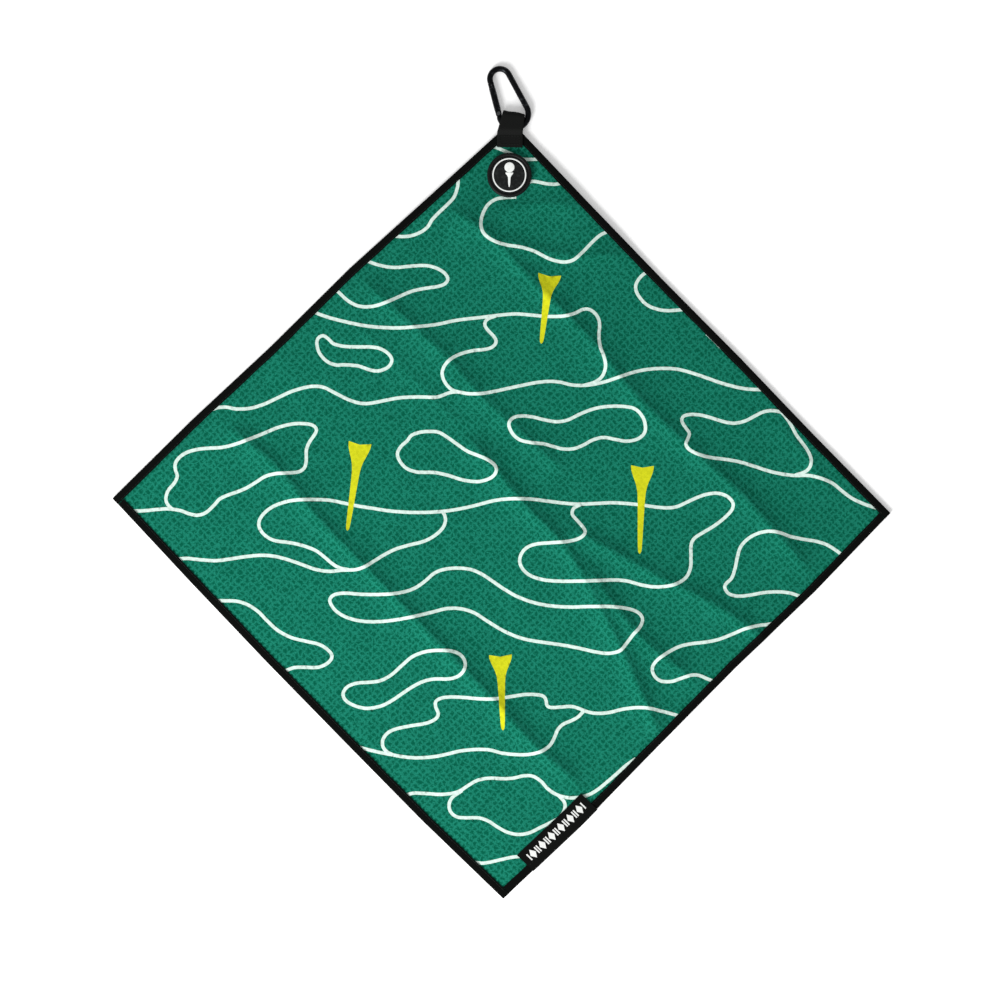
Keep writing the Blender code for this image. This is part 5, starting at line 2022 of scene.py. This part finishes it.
@dataclass
class MagnetPatch:
    """The moulded patch: a round rim, a set-in emblem disc with a plain ring and a ball on a tee."""

    radius: float = 16.5 * MM
    rim: float = 2.65 * MM
    recess: float = 1.0 * MM
    pocket_radius: float = 11.3 * MM
    pocket_depth: float = 2.4 * MM
    ring_radius: float = 12.1 * MM
    ring_width: float = 0.95 * MM
    proud: float = 0.16 * MM
    seam_radius: float = 15.2 * MM
    ball_radius: float = 3.7 * MM
    ball_up: float = 5.7 * MM
    cup_width: float = 5.6 * MM
    cup_height: float = 1.0 * MM
    cup_up: float = 1.4 * MM
    segments: int = 96

    def blank(self, node: str, name: str, radius: float) -> Piece:
        """A plain round block of this radius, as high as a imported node."""
        low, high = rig.box(node)
        return new_primitive(
            bpy.ops.mesh.primitive_cylinder_add,
            name,
            vertices=self.segments,
            radius=radius,
            depth=high.z - low.z,
            location=(0, 0, (low.z + high.z) / 2),
        )

    def shell(self) -> Piece:
        """Moulds the shell: a disc with its face set in, its rim rounded and a pocket behind."""
        shell = self.blank("patch_shell", "patch_moulding", self.radius)
        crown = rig.box("patch_shell")[1].z
        with editing(shell):
            choose(shell, "FACE", lambda f: f.normal.z > 0.9)
            bpy.ops.mesh.inset(thickness=self.rim)
            bpy.ops.mesh.extrude_region_move(TRANSFORM_OT_translate={"value": (0, 0, -self.recess)})
            choose(shell, "FACE", lambda f: f.normal.z < -0.9)
            bpy.ops.mesh.inset(thickness=self.radius - self.pocket_radius)
            bpy.ops.mesh.extrude_region_move(TRANSFORM_OT_translate={"value": (0, 0, self.pocket_depth)})
            top = crown - 0.01 * MM
            choose(
                shell,
                "EDGE",
                lambda e: min(v.co.z for v in e.verts) > top
                and len(e.link_faces) == 2
                and e.calc_face_angle(0.0) > 0.5,
            )
            bpy.ops.mesh.bevel(offset=self.rim * 0.42, segments=7, profile=0.5)
        return tidy(shell, angle=40)

    def disc(self, node: str, name: str, rounding: float) -> Piece:
        """Makes a disc the size of a node, its edges rounded.

        Args:
            node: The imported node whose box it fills.
            name: The piece's name.
            rounding: The radius of its edges.

        Returns:
            The disc.
        """
        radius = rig.box(node)[1].x
        disc = self.blank(node, name, radius)
        with editing(disc):
            choose(disc, "FACE", lambda f: abs(f.normal.z) > 0.9)
            bpy.ops.mesh.inset(thickness=radius * 0.5, use_individual=True)
        bevel_edges(disc, rounding, 3, 50)
        return tidy(disc, angle=40)

    def emblem_print(self) -> Piece:
        """Raises the emblem: a plain ring, a ball and the tee under it."""
        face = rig.box("emblem_disc")[1].z
        ring = new_primitive(
            bpy.ops.mesh.primitive_torus_add,
            "emblem_ring",
            major_radius=self.ring_radius,
            minor_radius=self.ring_width / 2,
            major_segments=self.segments,
            minor_segments=12,
            location=(0, 0, face),
        )
        flatter = self.proud / (self.ring_width / 2)
        stretch(ring, (1, 1, flatter), (0, 0, face))
        ball = new_primitive(
            bpy.ops.mesh.primitive_uv_sphere_add,
            "ball",
            segments=32,
            ring_count=12,
            radius=self.ball_radius,
            location=(0, self.ball_up, face),
        )
        stretch(ball, (1, 1, self.proud / self.ball_radius), (0, self.ball_up, face))
        tee = new_primitive(
            bpy.ops.mesh.primitive_cube_add,
            "tee",
            size=1,
            location=(0, 0, face),
            scale=(self.cup_width, self.cup_height, 2 * self.proud),
        )
        # Each step down the tee: how far, and how wide it is there against the step before
        steps = ((1.2, 0.6), (1.6, 0.55), (4.6, 0.8), (2.4, 0.35))
        with editing(tee):
            bpy.ops.mesh.select_all(action="SELECT")
            bpy.ops.transform.translate(value=(0, self.cup_up, 0))
            choose(tee, "FACE", lambda f: f.normal.y < -0.9)
            y = self.cup_up - self.cup_height / 2
            for down, narrower in steps:
                y -= down * MM
                bpy.ops.mesh.extrude_region_move(TRANSFORM_OT_translate={"value": (0, -down * MM, 0)})
                bpy.ops.transform.resize(value=(narrower, 1, 1), center_override=(0, y, face))
        bevel_edges(tee, 0.06 * MM, 2, 30)
        for part in (ball, tee):
            carve(ring, part, "UNION")
        ring.name = "emblem_relief"
        return tidy(ring, angle=40)

    def build(self, materials: Materials) -> dict[str, Piece]:
        """Builds the patch's visible pieces.

        Args:
            materials: The materials by short name.

        Returns:
            The shell, emblem, its relief, the backing and the stitches, by short name.
        """
        turns = np.linspace(0, 2 * math.pi, 200)
        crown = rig.box("patch_shell")[1].z
        ring = np.column_stack(
            [self.seam_radius * np.cos(turns), self.seam_radius * np.sin(turns), np.full(200, crown)]
        )
        sewing = Stitching(pitch=2.2 * MM, length=1.9 * MM, diameter=0.36 * MM)
        made = {
            "shell": self.shell(),
            "emblem": self.disc("emblem_disc", "emblem_plate", 0.12 * MM),
            "relief": self.emblem_print(),
            "backing": self.disc("patch_backing", "backing_plate", 0.5 * MM),
            "stitches": sewing.row("patch_stitches", ring),
        }
        for part, name in zip(made, ("rubber", "emblem", "ink", "rubber", "thread")):
            dress(made[part], materials[name])
        return made


# --- Studio ------------------------------------------------


@dataclass
class Studio:
    """A white table under soft light, seen from straight above through a long lens."""

    aim: Point = (-4.2 * MM, -240.4 * MM)
    picture_width: float = 742.1 * MM
    lens: float = 135.0
    sensor: float = 36.0
    roll: float = math.radians(0.83)
    sky: float = 0.52
    key_power: float = 65.0
    key_size: float = 1.3
    key_from: tuple[float, float, float] = (-1.06, -1.38, 1.22)
    floor_size: float = 8.0
    table_glow: float = 0.2

    def camera(self) -> None:
        """Sets the camera straight above the towel."""
        data = bpy.data.cameras.new("camera")
        data.lens = self.lens
        data.sensor_width = self.sensor
        data.clip_end = 50
        camera = bpy.data.objects.new("camera", data)
        distance = self.picture_width * self.lens / self.sensor
        camera.location = (*self.aim, distance)
        camera.rotation_euler = (0, 0, self.roll)
        bpy.context.scene.collection.objects.link(camera)
        bpy.context.scene.camera = camera

    def light(self) -> None:
        """Lights the table: an even sky, and a soft key low on the left."""
        scene = bpy.context.scene
        scene.view_settings.view_transform = "Standard"
        world = bpy.data.worlds.new("sky")
        world.use_nodes = True
        world.node_tree.nodes["Background"].inputs["Color"].default_value = (1, 1, 1, 1)
        world.node_tree.nodes["Background"].inputs["Strength"].default_value = self.sky
        scene.world = world
        key = bpy.data.lights.new("key", "AREA")
        key.energy = self.key_power
        key.shape = "DISK"
        key.size = self.key_size
        lamp = bpy.data.objects.new("key", key)
        target = Vector((*self.aim, 0))
        lamp.location = target + Vector(self.key_from)
        lamp.rotation_euler = (target - lamp.location).to_track_quat("-Z", "Y").to_euler()
        scene.collection.objects.link(lamp)

    def floor(self) -> None:
        """Lays the white table under the towel."""
        floor = new_primitive(
            bpy.ops.mesh.primitive_plane_add, "table", size=self.floor_size, location=(*self.aim, -0.05 * MM)
        )
        material = bpy.data.materials.new("table_white")
        material.use_nodes = True
        shader = material.node_tree.nodes["Principled BSDF"]
        shader.inputs["Base Color"].default_value = linear("#fafafa")
        shader.inputs["Roughness"].default_value = 0.9
        shader.inputs["Specular IOR Level"].default_value = 0.2
        shader.inputs["Emission Color"].default_value = (1, 1, 1, 1)
        shader.inputs["Emission Strength"].default_value = self.table_glow
        floor.data.materials.append(material)
        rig.stage(floor)


# --- Putting it together -----------------------------------


def stand_for(piece: Piece, body: str, slot: str, *nodes: str) -> None:
    """Sets a piece on its body, in its finish slot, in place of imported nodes, and reports it.

    Args:
        piece: The finished piece.
        body: The body that it moves with.
        slot: The record's material slot.
        *nodes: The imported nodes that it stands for.
    """
    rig.ride(piece, body)
    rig.slot(piece, slot)
    if nodes:
        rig.replaces(piece, *nodes)
    log.info("%s: %d faces", piece.name, len(piece.data.polygons))


def main() -> None:
    """Builds the towel's pieces in order and sets each on its body."""
    cad_box = [list(corner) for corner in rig.bounds()]
    studio = Studio()
    studio.camera()
    studio.light()
    studio.floor()
    materials = make_materials(Finishes())
    laying = Laying()

    tapes, rows = EdgeTape().build(laying, materials)
    for edge, tape in tapes.items():
        stand_for(tape, "towel", "binding_tape", f"binding_{edge.word}")
        stand_for(rows[edge], "towel", "sewing_thread", f"binding_thread_{edge.word}")
    label, motif, label_row = EdgeLabel().build(laying, materials)
    stand_for(label, "towel", "woven_label", "edge_label")
    stand_for(motif, "towel", "woven_label")
    stand_for(label_row, "towel", "sewing_thread", "label_thread")

    strap, strap_row = Strap().build(materials)
    start = (0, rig.box("towel_panel")[1].y + 0.5 * MM, 0)
    end = (0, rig.box("webbing_loop")[1].y - 4 * MM, 0)
    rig.blend(strap, "towel", "carabiner", start=start, end=end)
    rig.slot(strap, "webbing")
    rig.replaces(strap, "webbing_loop")
    stand_for(strap_row, "towel", "sewing_thread", "webbing_thread")

    patch = MagnetPatch().build(materials)
    stand_for(patch["shell"], "towel", "patch_rubber", "patch_shell")
    stand_for(patch["emblem"], "towel", "emblem_rubber", "emblem_disc")
    stand_for(patch["relief"], "towel", "emblem_rubber")
    stand_for(patch["backing"], "towel", "patch_rubber", "patch_backing")
    stand_for(patch["stitches"], "towel", "sewing_thread", "patch_thread")

    carabiner = Carabiner()
    frame_piece, gate = carabiner.frame(), carabiner.gate()
    rivet, spring = carabiner.rivet(), carabiner.spring()
    for piece, name in ((frame_piece, "anodised"), (gate, "anodised"), (rivet, "steel"), (spring, "steel")):
        dress(piece, materials[name])
    stand_for(frame_piece, "carabiner", "anodised_rod", "carabiner_frame")
    stand_for(gate, "gate", "anodised_rod", "carabiner_gate")
    stand_for(rivet, "gate", "plated_steel", "gate_pivot_rivet")
    stand_for(spring, "gate", "plated_steel", "gate_spring")
    carabiner.squeeze(spring)
    kept = {"magnet": "nickel", "magnet_cover": "rubber", "gate_latch_pin": "steel", "spring_pusher": "steel"}
    for node, name in kept.items():
        dress(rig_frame["nodes"][node], materials[name])

    cloth = TowelCloth().build(laying, materials)
    stand_for(cloth, "towel", "waffle_cloth", "towel_panel")
    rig.sheet(
        cloth,
        flat=(laying.side, laying.side),
        held="laid",
        with_pieces=[*tapes.values(), *rows.values(), label, motif, label_row, strap, strap_row],
    )
    bpy.ops.object.select_all(action="DESELECT")
    new_box = [list(corner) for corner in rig.bounds()]
    with open(SIZE_FILE, "w", encoding="utf-8") as file:
        json.dump({"cad": cad_box, "visual": new_box}, file)


if __name__ == "__main__":
    logging.basicConfig(level=logging.INFO, format="%(message)s")
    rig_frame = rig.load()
    main()
